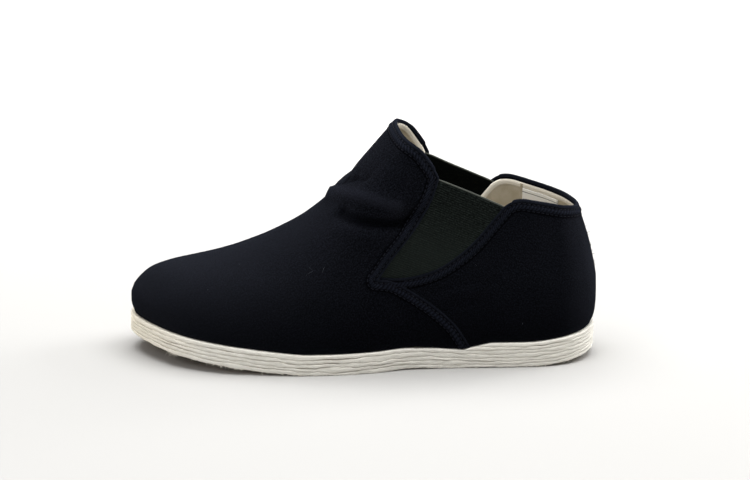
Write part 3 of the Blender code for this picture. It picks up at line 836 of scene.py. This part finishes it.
def beads(name, rows):
    """Thread beads along each row of points, as one mesh."""
    verts, faces = [], []
    profile = ((-0.5, 0.05, -0.7), (-0.40, 0.75, -0.15), (-0.15, 1.0, 0.25), (0.15, 1.0, 0.25),
               (0.40, 0.75, -0.15), (0.5, 0.05, -0.7))
    for points, ways in rows:
        run = lengths_along(points)
        for centre in np.arange(STITCH / 2, run[-1] - STITCH / 2, STITCH + STITCH_GAP):
            at = read_at(run, points, centre)
            ahead, behind = (read_at(run, points, centre + part * STITCH / 2) for part in (1, -1))
            up = unit(read_at(run, ways, centre))
            along = unit(ahead - behind)
            across = unit(np.cross(along, up))
            base = len(verts)
            for place, size, lift in profile:
                middle_point = at + along * place * STITCH + up * THREAD * lift
                for k in range(BEAD_SIDES):
                    turn = 2 * pi * k / BEAD_SIDES
                    verts.append(middle_point + THREAD * size * (across * cos(turn) + up * sin(turn)))
            for ring in range(len(profile) - 1):
                for k in range(BEAD_SIDES):
                    a = base + ring * BEAD_SIDES + k
                    b = base + ring * BEAD_SIDES + (k + 1) % BEAD_SIDES
                    faces.append((a, b, b + BEAD_SIDES, a + BEAD_SIDES))
            faces.append(tuple(base + k for k in range(BEAD_SIDES))[::-1])
            faces.append(tuple(base + (len(profile) - 1) * BEAD_SIDES + k for k in range(BEAD_SIDES)))
    return mesh_piece(name, verts, faces)


HIDDEN = 14
seen = slice(HIDDEN, -HIDDEN)
vamp_rows = [trace(vamp_outer, vamp_out, vamp_to_edge, wanted) for wanted in STITCH_ROWS]
vamp_stitches = beads("vamp_stitches", vamp_rows)
quarter_rows = [trace(quarter_outer[seen], quarter_out[seen], quarter_to_edge[seen], wanted)
                for wanted in STITCH_ROWS]
quarter_stitches = beads("quarter_stitches", quarter_rows)

# %% [markdown]
# ## The layered sole
# Layers of cotton cloth are pasted, stacked and trimmed to one outline, so the side of the sole is a
# stack of soft bands with thin dark gaps that wander a little. Each ply is a thin closed plate with
# a swollen edge. Neighbours share one wavy boundary, so that a gap never opens wider than a real one.

# %% Outline and boundaries of the plies
STATIONS = np.concatenate([0.14 * (np.arange(44) / 44) ** 2, np.linspace(0.14, 0.86, 190, endpoint=False),
                           1 - 0.14 * (1 - np.arange(45) / 44) ** 2])
# level on the ply's edge, and how far the swollen edge is drawn in there
EDGE_ROWS = ((0.0, 0.55), (0.10, 0.22), (0.28, 0.04), (0.5, 0.0), (0.72, 0.04), (0.90, 0.22), (1.0, 0.55))
RAGGED = 0.34 * MM
FINE = np.linspace(0, 1, 1201)
BASES = [ply_base(number, FINE) for number in range(FULL_PLIES + HEEL_PLIES + 1)]
edge_frames = {}


def outline_point(share, side, inset):
    """Point of the sole's outline on one side, moved in by the inset."""
    key = (float(share), side)
    if key not in edge_frames:
        if share <= 0 or share >= 1:
            frame_here = (float(x_at(share)), float(middle(share)), 1.0 if share <= 0 else -1.0, 0.0)
        else:
            dx = float(x_at(share + SMALL) - x_at(share - SMALL))
            dy = float(side * (half_width(share + SMALL) - half_width(share - SMALL))
                       + middle(share + SMALL) - middle(share - SMALL))
            length = hypot(dx, dy)
            frame_here = (float(x_at(share)), float(middle(share) + side * half_width(share)),
                          side * dy / length, -side * dx / length)
        edge_frames[key] = frame_here
    x, y, in_x, in_y = edge_frames[key]
    return x + inset * in_x, y + inset * in_y


def wander(number, x, y):
    """How far one ply boundary strays from its even height."""
    place = Vector((x * 38, y * 38, number * 5.3))
    rough = noise.noise(place) + 0.8 * noise.noise(place * 3.3) + 0.5 * noise.noise(place * 9)
    if number == 0:
        return 0.55 * MM * max(0.0, rough + 0.7 * noise.noise(place * 24) + 0.30)
    return 0.80 * MM * rough


def gap(number, x, y):
    """Opening between two plies: pasted shut in places, split open in others."""
    place = Vector((x * 55, y * 55, number * 11.7 + 4))
    split = max(0.0, noise.noise(place) + 0.5 * noise.noise(place * 4) - 0.05)
    # one longer split shows on the near side, at the ball
    long_split = 1.4 * bell(x, 0.093, 0.012) if number == 4 and y > 0 else 0.0
    return (0.14 + 0.60 * split + 0.35 * long_split) * MM


def boundary(number, x, y):
    """Height of a ply boundary: level under the upper, wandering between plies."""
    share = min(max(share_at(x), 0.0), 1.0)
    height = float(np.interp(share, FINE, BASES[number]))
    if number < FULL_PLIES:
        free = 1.0
    elif number < FULL_PLIES + HEEL_PLIES:
        free = 0.75 * float(soft_step(heel_ply_front(number - FULL_PLIES) - 0.03 - share, 0, 0.06))
    else:
        free = 0.0
    return height + (free * wander(number, x, y) if free else 0.0)


# %% One ply, and the stack of them
def ply(name, number, stations, inset=0.0, low=None, high=None, across=7, swell=0.5 * MM):
    """Closed plate with a swollen, ragged edge: one ring of points at each place along the sole."""
    low = low or (lambda x, y: boundary(number, x, y))
    high = high or (lambda x, y: boundary(number + 1, x, y) - gap(number + 1, x, y))
    bm = bmesh.new()
    layer = bm.loops.layers.uv.new("cloth")
    far = bm.verts.layers.float.new("edge")
    rings = []
    for share in stations:
        ring = []
        for side, rows, face in ((1, EDGE_ROWS, high), (-1, EDGE_ROWS[::-1], low)):
            for level, tuck in rows:
                x, y = outline_point(share, side, inset + tuck * swell)
                ragged = noise.noise(Vector((x * 120, y * 120, number * 3.7 + 2)))
                ragged += 0.6 * noise.noise(Vector((x * 420, y * 420, number * 9.1 + level)))
                x, y = outline_point(share, side, inset + tuck * swell - ragged * RAGGED)
                bottom, top = low(x, y), high(x, y)
                ring.append((x, y, bottom + (top - bottom) * level))
            start = ring[-1]
            end = ring[0] if side < 0 else outline_point(share, -1, inset + EDGE_ROWS[-1][1] * swell)
            for t in np.linspace(0, 1, across + 2)[1:-1]:
                x, y = start[0] + (end[0] - start[0]) * t, start[1] + (end[1] - start[1]) * t
                ring.append((x, y, face(x, y)))
        rings.append([bm.verts.new(p) for p in ring])
    count = len(rings[0])
    for here, ahead in zip(rings[:-1], rings[1:]):
        for i in range(count):
            j = (i + 1) % count
            bm.faces.new((here[i], here[j], ahead[j], ahead[i]))
    for share, ring in ((stations[0], rings[0]), (stations[-1], rings[-1])):
        if 0 < share < 1:
            bm.faces.new(ring)
    bmesh.ops.remove_doubles(bm, verts=bm.verts, dist=2e-6)
    bmesh.ops.recalc_face_normals(bm, faces=bm.faces)
    for face in bm.faces:
        for loop in face.loops:
            x, y, z = loop.vert.co / MM
            loop[layer].uv = (x + y * 0.35, z + y * 0.6)
    for vert in bm.verts:
        vert[far] = 9.0  # no part of a ply or the insole gets the lining's pale rim
    mesh = bpy.data.meshes.new(name)
    bm.to_mesh(mesh)
    bm.free()
    return piece(name, mesh)


plies = []
for number in range(FULL_PLIES):
    plies.append((ply(f"cotton_ply_{number + 1}", number, STATIONS), f"sole_ply_{number + 1}"))
for number in range(HEEL_PLIES):
    front = heel_ply_front(number) - SKIVE_CUT * SKIVE
    stations = np.append(STATIONS[STATIONS < front - 0.002], front)
    plies.append((ply(f"cotton_heel_ply_{number + 1}", FULL_PLIES + number, stations),
                  f"heel_ply_{number + 1}"))

# %% [markdown]
# ## The insole
# The insole is canvas over a thin board, and only its heel half shows through the collar. It is made
# as one more plate with a soft edge, pressed a little hollow where the heel stands.

# %% Insole
def insole_top(x, y):
    hollow = 0.35 * MM * np.exp(-(((x + 0.012) / 0.028) ** 2 + (y / 0.022) ** 2))
    return insole_low(x, y) + 1.5 * MM - hollow


def insole_low(x, y):
    return float(np.interp(min(max(share_at(x), 0.0), 1.0), FINE, BASES[-1])) + CLEAR


INSOLE_NUMBER = 40  # only picks its own pattern of raggedness
insole = ply("canvas_insole", INSOLE_NUMBER, STATIONS[::2], LEDGE + WALL + 2 * CLEAR, insole_low,
             insole_top, across=15, swell=0.6 * MM)

# %% [markdown]
# ## Small things
# A woven size label is sewn inside the far quarter and left blank, with the fold of the lining's back
# seam beside it. Loose fibres stand off the cloth, frayed ends hang from the lowest ply, and a few
# flecks of lint sit on the near side.

# %% Blank label and seam fold
def far_patch(xs, drops):
    """Points on the far quarter's wall at each x and each drop below its top edge."""
    x, down_by = np.meshgrid(xs, drops, indexing="ij")
    z = np.interp(x, wall_x(top_near[:, 0], top_near[:, 1]), top_near[:, 1]) - down_by
    points, out = on_last(to_share(x, z), z, -1)
    return x, down_by, z, points, out


def label_sheet():
    xs, drops = np.linspace(-41.5, -20.0, 26) * MM, np.linspace(5.2, 17.5, 16) * MM
    x, down_by, _, points, out = far_patch(xs, drops)
    push = folded(points)
    outer = sunk(points, out, LINING_IN + 0.05 * MM - push)
    inner = sunk(points, out, LINING_IN + 0.38 * MM - push)
    uv = np.stack([x - xs[0], down_by - drops[0]], -1)
    return panel("blank_label", inner, outer, uv, (down_by - drops[0]) / MM)


def seam_fold():
    """Narrow fold of the lining's back seam, on the inner face of the far side."""
    xs, drops = np.linspace(-20.2, -18.4, 6) * MM, np.linspace(2.6, 30.0, 40) * MM
    x, down_by, z, points, out = far_patch(xs, drops)
    crown = 0.30 * MM * np.sin(pi * (xs - xs[0]) / (xs[-1] - xs[0]))[:, None]
    inner = points - out * (LINING_IN + 0.12 * MM + crown)[..., None]
    return panel("lining_seam", inner, points - out * LINING_IN, np.stack([x, z], -1), down_by / MM + 5)


label = label_sheet()
lining_seam = seam_fold()


# %% Fibres
FIBRE_RINGS = 6
FIBRE_SIDES = 3


def fibres(name, starts, radius, seed):
    """Thin bent fibres as one mesh: each from a point, along a way, with a length."""
    rng = np.random.default_rng(seed)
    verts, faces = [], []
    for start, way, length in starts:
        start, way = np.array(start, float), unit(np.array(way, float))
        bend = rng.normal(size=3) * 0.35
        side = unit(np.cross(way, (0.3, 0.5, 0.8)))
        other = np.cross(way, side)
        base = len(verts)
        for k, t in enumerate(np.linspace(0, 1, FIBRE_RINGS)):
            centre = start + way * length * t + bend * length * t * t * 0.6
            size = radius * (1 - 0.75 * t)
            for turn in (0, 2 * pi / 3, 4 * pi / 3):
                verts.append(centre + size * (side * cos(turn) + other * sin(turn)))
            if k:
                for j in range(FIBRE_SIDES):
                    a = base + (k - 1) * FIBRE_SIDES + j
                    b = base + (k - 1) * FIBRE_SIDES + (j + 1) % FIBRE_SIDES
                    faces.append((a, b, b + FIBRE_SIDES, a + FIBRE_SIDES))
        faces.append((base + 2, base + 1, base))
        faces.append((base + 15, base + 16, base + 17))
    return mesh_piece(name, verts, faces)


# %% Fuzz on the cloth, and longer hairs on the heel
rng = np.random.default_rng(7)
fuzz = []
for grid, normals, count in ((vamp_outer, vamp_out, 260), (quarter_outer, quarter_out, 240)):
    for _ in range(count):
        i, j = rng.integers(2, grid.shape[0] - 2), rng.integers(0, grid.shape[1] - 14)
        way = normals[i, j] + rng.normal(size=3) * 0.9
        fuzz.append((grid[i, j] - normals[i, j] * 0.1 * MM, way, rng.uniform(0.4, 1.1) * MM))
cloth_fuzz = fibres("cloth_fuzz", fuzz, 0.045 * MM, 3)
heel_mid = len(top_near) - 1
hairs = []
for _ in range(22):
    i = heel_mid + rng.integers(-4, 7)
    j = rng.integers(18, 38)
    way = quarter_out[i, j] + rng.normal(size=3) * 0.6
    hairs.append((quarter_outer[i, j], way, rng.uniform(1.1, 2.2) * MM))
heel_hairs = fibres("heel_hairs", hairs, 0.20 * MM, 4)

# %% Frayed threads: tufts by place along the sole and number, then single ones by place, length, way
TUFTS = ((0.895, 0.915, 18), (0.76, 0.82, 40), (0.63, 0.665, 16), (0.30, 0.9, 60), (0.03, 0.2, 22))
SINGLE = ((0.908, 3.0, 0.5), (0.903, 2.4, -0.4), (0.818, 2.0, 0.9), (0.806, 2.3, -0.8), (0.792, 1.8, 0.4),
          (0.771, 2.2, 1.0), (0.762, 1.6, -0.5), (0.664, 1.6, 0.8), (0.641, 1.5, -0.9))
frays = []
for share_from, share_to, count in TUFTS:
    for _ in range(count):
        spot = rng.uniform(share_from, share_to)
        side = 1 if rng.random() < 0.75 else -1
        x, y = outline_point(spot, side, 0.10 * MM)
        base = boundary(0, x, y) + rng.uniform(0.1, 0.5) * MM
        way = (rng.normal() * 0.8, side * rng.uniform(0.2, 0.8), -rng.uniform(0.1, 0.9))
        long = rng.uniform(0.7, 2.0) * MM * (1.5 if share_from > 0.85 else 1)
        # a thread low on the sole is short, or it would reach far under the floor
        long = min(long, 1.1 * base + 0.6 * MM)
        frays.append(((x, y, max(base, 0.3 * MM)), way, long))
for spot, long, ahead in SINGLE:
    x, y = outline_point(spot, 1, 0.0)
    frays.append(((x, y, boundary(0, x, y) + 0.3 * MM), (ahead, 0.7, -0.8), long * MM))
ply_frays = fibres("ply_frays", frays, 0.16 * MM, 5)

# %% Lint and three short scuffs on the near side, placed in mm
LINT = ((-13.5, 26.6), (30.0, 44.0), (150.0, 60.0), (52.0, 60.0), (168.0, 47.0), (15.0, 62.0))
SCUFFS = ((110.5, 62.5, -0.7, -0.8), (102.0, 63.0, 0.35, -0.9), (108.5, 60.5, 0.9, -0.3))


def near_spot(x, z):
    """Point of the last and the way out of it, from millimetres in the side view."""
    height = np.array([z * MM])
    point, out = on_last(to_share(np.array([x * MM]), height), height, 1)
    return point[0], out[0]


lint = []
for x, z in LINT:
    point, out = near_spot(x, z)
    for _ in range(3):
        way = unit(rng.normal(size=3) + out * 0.3)
        lint.append((point - out * (LEDGE - 0.12 * MM), way, rng.uniform(0.5, 0.9) * MM))
for x, z, toward_x, toward_z in SCUFFS:
    point, out = near_spot(x, z)
    along = np.array((toward_x, 0.0, toward_z))
    along = along - out * (along @ out)
    lint.append((point - out * (LEDGE - 0.10 * MM), along, 4.5 * MM))
lint_flecks = fibres("lint_flecks", lint, 0.07 * MM, 9)

# %% [markdown]
# ## Colour and materials
# Every surface here is textile, so none of them shines: each is rough, with a thread pattern that is
# too fine to count and only breaks the surface up. Colours are picked as screen hex values and turned
# to linear by one function. One more function adds a shader node with its settings and links, and the
# short ones after it only name its common uses.

# %% Colours and nodes
def linear(hex_value):
    parts = [int(hex_value[i:i + 2], 16) / 255 for i in (1, 3, 5)]
    return tuple(c / 12.92 if c <= 0.04045 else ((c + 0.055) / 1.055) ** 2.4 for c in parts) + (1.0,)


def add(tree, kind, inputs=None, **settings):
    """Add a node, set its options, and set or link its inputs."""
    made = tree.nodes.new("ShaderNode" + kind)
    for key, value in settings.items():
        setattr(made, key, value)
    for key, value in (inputs or {}).items():
        if isinstance(value, bpy.types.NodeSocket):
            tree.links.new(value, made.inputs[key])
        else:
            made.inputs[key].default_value = linear(value) if isinstance(value, str) else value
    return made


def mixed(tree, factor, first, second):
    """Colour between two others by a factor."""
    return add(tree, "Mix", {"Factor": factor, 6: first, 7: second}, data_type="RGBA").outputs[2]


def band(tree, value, low, high, out_low=0.0, out_high=1.0):
    return add(tree, "MapRange", {"Value": value, "From Min": low, "From Max": high,
                                  "To Min": out_low, "To Max": out_high}).outputs["Result"]


def maths(tree, operation, *values):
    return add(tree, "Math", dict(enumerate(values)), operation=operation).outputs[0]


def attribute(tree, name):
    """A number that the panels carry: mm from the edge, mm along it, or mm of fold."""
    return add(tree, "Attribute", attribute_name=name).outputs["Fac"]


def parts_of(tree, vector):
    return add(tree, "SeparateXYZ", {0: vector}).outputs


def mottle(tree, vector, scale, detail=2.0, roughness=0.5):
    return add(tree, "TexNoise", {"Vector": vector, "Scale": scale, "Detail": detail,
                                  "Roughness": roughness}).outputs["Fac"]


def bumped(tree, surface, height, strength, distance):
    bump = add(tree, "Bump", {"Height": height, "Strength": strength, "Distance": distance})
    tree.links.new(bump.outputs[0], surface.inputs["Normal"])


# %% Cloth in general
def cloth_material(name, roughness, sheen=0.0, sheen_tint="#ffffff", colour="#cccccc"):
    """A rough textile surface, without its pattern."""
    made = bpy.data.materials.new(name)
    made.use_nodes = True
    tree = made.node_tree
    surface = tree.nodes["Principled BSDF"]
    surface.inputs["Base Color"].default_value = linear(colour)
    surface.inputs["Roughness"].default_value = roughness
    surface.inputs["IOR"].default_value = 1.5
    surface.inputs["Specular IOR Level"].default_value = 0.05
    surface.inputs["Sheen Weight"].default_value = sheen
    surface.inputs["Sheen Roughness"].default_value = 0.45
    surface.inputs["Sheen Tint"].default_value = linear(sheen_tint)
    print("material", name)
    return made, tree, surface


def thread_height(tree, threads_mm, turn):
    """Height of a plain weave from the cloth's own millimetres, and those, turned and scaled."""
    uv = add(tree, "UVMap", uv_map="cloth").outputs[0]
    turned = add(tree, "Mapping", {"Vector": uv, "Rotation": (0, 0, radians(turn)),
                                   "Scale": (1 / threads_mm,) * 3}).outputs[0]
    uneven = add(tree, "TexNoise", {"Vector": turned, "Scale": 0.35, "Detail": 2.0}).outputs["Color"]
    moved = add(tree, "VectorMath", {0: turned, 1: uneven}, operation="ADD").outputs[0]
    warp, weft = (add(tree, "TexWave", {"Vector": moved, "Scale": 0.5}, bands_direction=way).outputs["Fac"]
                  for way in "XY")
    return maths(tree, "MAXIMUM", warp, weft), turned


# %% [markdown]
# ### Black cotton twill
# The upper is dyed black cotton, woven tight and slightly brushed. It looks blue-black, nearly matt,
# with a faint pale sheen where it turns away. A painted highlight lightens the toe and the back of the
# heel, painted shade darkens the foot of the wall and the hollows of the folds, and a painted highlight
# lightens the ridges of the folds.
# Real threads are about 0.4 mm apart; they are drawn at 0.75 mm so that the weave just shows.

# %% Black cotton
# tints of painted light: a pale painted highlight and a near-black painted shade
PAINTED_HIGHLIGHT, PAINTED_SHADE = "#212329", "#020203"
black_cotton, tree, surface = cloth_material("black_cotton_twill_brushed", 0.92, 0.062, "#acb0c6")
surface.inputs["Specular IOR Level"].default_value = 0.0
surface.inputs["Sheen Roughness"].default_value = 0.30
weave, mm = thread_height(tree, 0.75, 34)
slub = mottle(tree, mm, 0.85, 4.0, 0.75)
patch = mottle(tree, mm, 0.045, 4.0, 0.6)
colour = mixed(tree, band(tree, patch, 0.35, 0.7), "#040506", "#07080a")
colour = mixed(tree, band(tree, slub, 0.44, 0.62, 0.0, 0.85), colour, "#1c1e25")
where = parts_of(tree, add(tree, "TexCoord").outputs["Object"])
fold = attribute(tree, "crease")
# painted light: a painted highlight on the toe and on the back of the heel, painted shade low on the wall
# and in the hollows of the folds, and a painted highlight on the fold ridges
# each row: what is measured, where the tint starts, where it is full, how much of it, the tint
for value, start, full, amount, tint in (
        (where["X"], 0.08, 0.19, 0.52, PAINTED_HIGHLIGHT), (where["X"], -0.035, -0.06, 0.45, PAINTED_HIGHLIGHT),
        (where["Z"], 0.055, 0.020, 0.55, PAINTED_SHADE), (fold, -0.7, -2.3, 0.55, PAINTED_SHADE),
        (fold, 0.9, 2.6, 0.35, "#24262e")):
    colour = mixed(tree, band(tree, value, start, full, 0.0, amount), colour, tint)

# %% [markdown]
# ### The hem on the black cotton
# The stitches pull a hem into slanting puckers. They are painted as a twisted cord with a painted
# highlight on its crown, a painted highlight on the raised edge, and painted shade in the two sunk
# stitch lines. One pucker is about 1.2 mm long on the shoe; it is drawn at 2.2 mm, or the picture would
# lose it.

# %% Hem pattern, by distance from the edge
PUCKER_MM = 2.2
from_edge = attribute(tree, "edge")
turns = maths(tree, "MULTIPLY", attribute(tree, "along"), 2 * pi / PUCKER_MM)
twisted = maths(tree, "SINE", maths(tree, "MULTIPLY_ADD", from_edge, 2.4, turns))
uneven = maths(tree, "MULTIPLY_ADD", slub, 4.5, twisted)
cord_highlight = mixed(tree, band(tree, uneven, 1.2, 3.4), "#0a0c10", "#22252f")
# rows: painted highlight on the raised edge, the cord's painted highlight on the crown, and painted shade in
# the two sunk stitch lines
for at_mm, wide, tint, amount in ((0.0, 1.0, "#1c1f27", 0.5), (3.3, 1.9, cord_highlight, 0.70),
                                  (1.55, 0.6, PAINTED_SHADE, 0.60), (5.7, 1.2, PAINTED_SHADE, 0.80)):
    off = maths(tree, "ABSOLUTE", maths(tree, "SUBTRACT", from_edge, at_mm))
    colour = mixed(tree, band(tree, off, 0.35 * wide, wide, amount, 0.0), colour, tint)
tree.links.new(colour, surface.inputs["Base Color"])
bumped(tree, surface, maths(tree, "ADD", maths(tree, "ADD", weave, slub), slub), 0.9, 0.00022)

# %% [markdown]
# ### Black sewing thread
# The stitching is spun black polyester, a little smoother than the cloth, so each bead catches a
# small soft highlight.

# %% Thread
black_thread, tree, surface = cloth_material("black_polyester_thread_spun", 0.62, 0.03, "#c8ccd8", "#14161d")
twist = mottle(tree, add(tree, "TexCoord").outputs["Object"], 4000.0)
bumped(tree, surface, twist, 0.3, 0.00005)

# %% [markdown]
# ### Ribbed elastic
# The gore is rubber thread covered with knitted polyester. Its ribs are real ridges on the mesh, with
# painted shade in their grooves, and the fine knit across them is bump. It is greener and lighter than
# the cotton, paler low down where it is stretched, and has a pale rubber line on top. Painted shade
# makes its inner face near black.

# %% Elastic
elastic, tree, surface = cloth_material("black_elastic_ribbed_knit", 0.9, 0.05, "#b8c4bc")
uv = add(tree, "UVMap", uv_map="cloth").outputs[0]
knit = add(tree, "TexWave", {"Vector": uv, "Scale": 0.55, "Distortion": 1.2, "Detail": 1.0},
           bands_direction="X").outputs["Fac"]
speckle = mottle(tree, uv, 1.1, 3.0)
green = mixed(tree, band(tree, speckle, 0.35, 0.65), "#040606", "#262c29")
ribs = maths(tree, "COSINE", maths(tree, "MULTIPLY", parts_of(tree, uv)["Y"], 2 * pi / (RIB / MM)))
below_top = attribute(tree, "edge")
side_y = parts_of(tree, add(tree, "TexCoord").outputs["Object"])["Y"]
turned_y = parts_of(tree, add(tree, "NewGeometry").outputs["Normal"])["Y"]
outward = maths(tree, "MULTIPLY", side_y, turned_y)
# rows: painted shade in the rib grooves, paler low down where stretched, painted shade on the inner face,
# and the pale rubber line on top
for value, start, full, least, most, tint in (
        (ribs, 0.2, -0.9, 0.0, 0.75, "#040605"), (below_top, 14.0, 40.0, 0.0, 0.45, "#242a27"),
        (outward, 0.0, -0.01, 0.0, 0.9, "#020403"), (below_top, 0.05, 0.75, 0.65, 0.0, "#585b55")):
    green = mixed(tree, band(tree, value, start, full, least, most), green, tint)
tree.links.new(green, surface.inputs["Base Color"])
bumped(tree, surface, maths(tree, "ADD", knit, speckle), 0.8, 0.00018)

# %% [markdown]
# ### Beige canvas lining
# The lining is unbleached cotton canvas, plain woven. Its turned edge is a paler cream than the rest.
# Real threads are about 0.6 mm apart and are drawn at 0.85 mm.

# %% Canvas
canvas, tree, surface = cloth_material("unbleached_cotton_canvas_woven", 0.92, 0.15)
weave, mm = thread_height(tree, 0.85, 4)
beige = mixed(tree, band(tree, mottle(tree, mm, 0.12, 5.0), 0.3, 0.75), "#bfb6a3", "#a99e86")
cream = mixed(tree, band(tree, attribute(tree, "edge"), 2.2, 3.2, 0.9, 0.0), beige, "#f6f0e2")
gaps = mixed(tree, band(tree, weave, 0.0, 0.6, 0.35, 0.0), cream, "#8d8169")
tree.links.new(gaps, surface.inputs["Base Color"])
bumped(tree, surface, weave, 0.6, 0.00015)

# %% [markdown]
# ### Pasted cotton plies
# The sole's plies are undyed cotton, stiff with starch paste and trimmed with a knife. They look
# off-white and chalky, a little warmer at the toe and greyer in patches. Their downward faces are
# brown, partly the bottom's own colour and partly painted shade.

# %% Cotton ply
cotton_ply, tree, surface = cloth_material("undyed_cotton_pasted_trimmed", 0.93, 0.1)
place = add(tree, "TexCoord").outputs["Object"]
base = mixed(tree, band(tree, parts_of(tree, place)["X"], 0.17, 0.214), "#e5e2d9", "#f1e9d7")
# streaks lie along the plies, knife marks stand across them
streaks = add(tree, "Mapping", {"Vector": place, "Scale": (260.0, 260.0, 2600.0)}).outputs[0]
knife = add(tree, "Mapping", {"Vector": place, "Scale": (1500.0, 1500.0, 260.0)}).outputs[0]
stain = mottle(tree, streaks, 1.0, 4.0)
grey = mixed(tree, band(tree, stain, 0.45, 0.8, 0.0, 0.5), base, "#b9b3a6")
down = parts_of(tree, add(tree, "NewGeometry").outputs["Normal"])["Z"]
# downward faces turn brown: partly the bottom's own colour, partly painted shade under the sole
tree.links.new(mixed(tree, band(tree, down, -0.75, -0.95), grey, "#9a8468"), surface.inputs["Base Color"])
rough = maths(tree, "ADD", stain, mottle(tree, place, 1900.0, 4.0))
bumped(tree, surface, maths(tree, "ADD", rough, mottle(tree, knife, 1.0)), 0.8, 0.00028)

# %% [markdown]
# ### White label ribbon and loose fibres
# The label is white woven ribbon with one thin dark line along its border, and nothing else. Fibres
# and lint are too thin for a pattern, so each has one plain colour.

# %% Ribbon
ribbon, tree, surface = cloth_material("white_woven_ribbon", 0.7)
across = parts_of(tree, add(tree, "UVMap", uv_map="cloth").outputs[0])["Y"]
off = maths(tree, "ABSOLUTE", maths(tree, "SUBTRACT", across, 2.0))
dark = band(tree, off, 0.1, 0.3, 1.0, 0.0)
tree.links.new(mixed(tree, dark, "#f1efe9", "#5a5a58"), surface.inputs["Base Color"])

# %% Loose fibres
loose_black, _, _ = cloth_material("black_cotton_fibre", 0.9, 0.04, colour="#0b0c10")
loose_white, _, _ = cloth_material("white_cotton_fibre", 0.9, 0.2, colour="#e6e1d6")
grey_lint, _, _ = cloth_material("grey_lint", 0.9, 0.2, colour="#3a3d46")

# %% Put every piece in its place: piece, material, slot, and the solid it stands for
for obj, material, slot, *nodes in (
        (vamp, black_cotton, "black_cotton", "upper"),
        (quarter, black_cotton, "black_cotton", "upper"),
        (vamp_stitches, black_thread, "black_cotton"),
        (quarter_stitches, black_thread, "black_cotton"),
        (vamp_lining, canvas, "lining", "upper"),
        (quarter_lining, canvas, "lining", "upper"),
        (insole, canvas, "lining", "insole"),
        (label, ribbon, "lining"),
        (lining_seam, canvas, "lining"),
        (gore_near, elastic, "elastic", "gore_lateral"),
        (gore_far, elastic, "elastic", "gore_medial"),
        *((plate, cotton_ply, "sole_ply", node) for plate, node in plies),
        (cloth_fuzz, loose_black, "black_cotton"),
        (heel_hairs, loose_black, "black_cotton"),
        (lint_flecks, grey_lint, "black_cotton"),
        (ply_frays, loose_white, "sole_ply")):
    sew_in(obj, material, slot, *nodes)

# %% [markdown]
# ## Floor, light and camera
# The shoe stands on a pale studio floor. One large soft light overhead gives the pale top of the toe
# and the soft shadow under the sole, one at the heel side lights the heel, and a weak one at the toe
# side opens the black side. Two narrow-beamed ones brighten only the floor behind and before the shoe,
# and a white world fills the rest. The camera is low and almost square to the outer side, as in the
# photograph.

# %% Floor
floor_mesh = bpy.data.meshes.new("floor")
floor_mesh.from_pydata([(-6, -6, 0), (6, -6, 0), (6, 6, 0), (-6, 6, 0)], [], [(0, 1, 2, 3)])
floor = bpy.data.objects.new("floor", floor_mesh)
scene.collection.objects.link(floor)
paper, _, _ = cloth_material("pale_studio_paper", 0.95, colour="#adacaa")
floor_mesh.materials.append(paper)


# %% Lights
def soft_light(name, place, target, size, power, spread=180):
    """Rectangular lamp at a place, turned to a target; its beam can be narrowed, in degrees."""
    data = bpy.data.lights.new(name, "AREA")
    data.shape = "RECTANGLE"
    data.size, data.size_y = size
    data.energy = power
    data.spread = radians(spread)
    light = bpy.data.objects.new(name, data)
    light.location = place
    light.rotation_euler = (Vector(target) - Vector(place)).to_track_quat("-Z", "Y").to_euler()
    scene.collection.objects.link(light)
    print("light", name, power, "W")


soft_light("overhead", (0.04, -0.08, 1.3), (0.04, 0.0, 0.0), (1.7, 1.1), 38.5)
soft_light("heel side", (-1.3, -0.4, 0.8), (0.0, 0.0, 0.05), (0.8, 0.8), 18.0)
soft_light("toe side", (1.0, 1.1, 1.0), (0.1, 0.0, 0.05), (1.2, 0.6), 6.0)
soft_light("far floor", (0.0, -1.75, 2.2), (0.0, -1.75, 0.0), (3.6, 0.8), 110.0, spread=75)
soft_light("near floor", (0.0, 2.3, 2.2), (0.0, 2.3, 0.0), (3.6, 0.8), 150.0, spread=80)
world = bpy.data.worlds.new("studio")
world.use_nodes = True
world.node_tree.nodes["Background"].inputs["Color"].default_value = linear("#ffffff")
world.node_tree.nodes["Background"].inputs["Strength"].default_value = 0.30
scene.world = world
scene.view_settings.view_transform = "Standard"

# %% Camera
AZIMUTH, ELEVATION, ROLL, AWAY = radians(176.5), radians(15.5), radians(1.0), 1.1
target = Vector((0.07085, 0.0, 0.06735))
back = Vector((sin(AZIMUTH) * cos(ELEVATION), -cos(AZIMUTH) * cos(ELEVATION), sin(ELEVATION)))
camera_data = bpy.data.cameras.new("camera")
camera_data.lens, camera_data.sensor_width = 90.0, 36.0
camera = bpy.data.objects.new("camera", camera_data)
camera.location = target + back * AWAY
aim = (-back).to_track_quat("-Z", "Y").to_matrix().to_4x4()
camera.rotation_euler = (aim @ Matrix.Rotation(ROLL, 4, "Z")).to_euler()
scene.collection.objects.link(camera)
scene.camera = camera
print("camera", AWAY, "m from the shoe, lens", camera_data.lens, "mm")
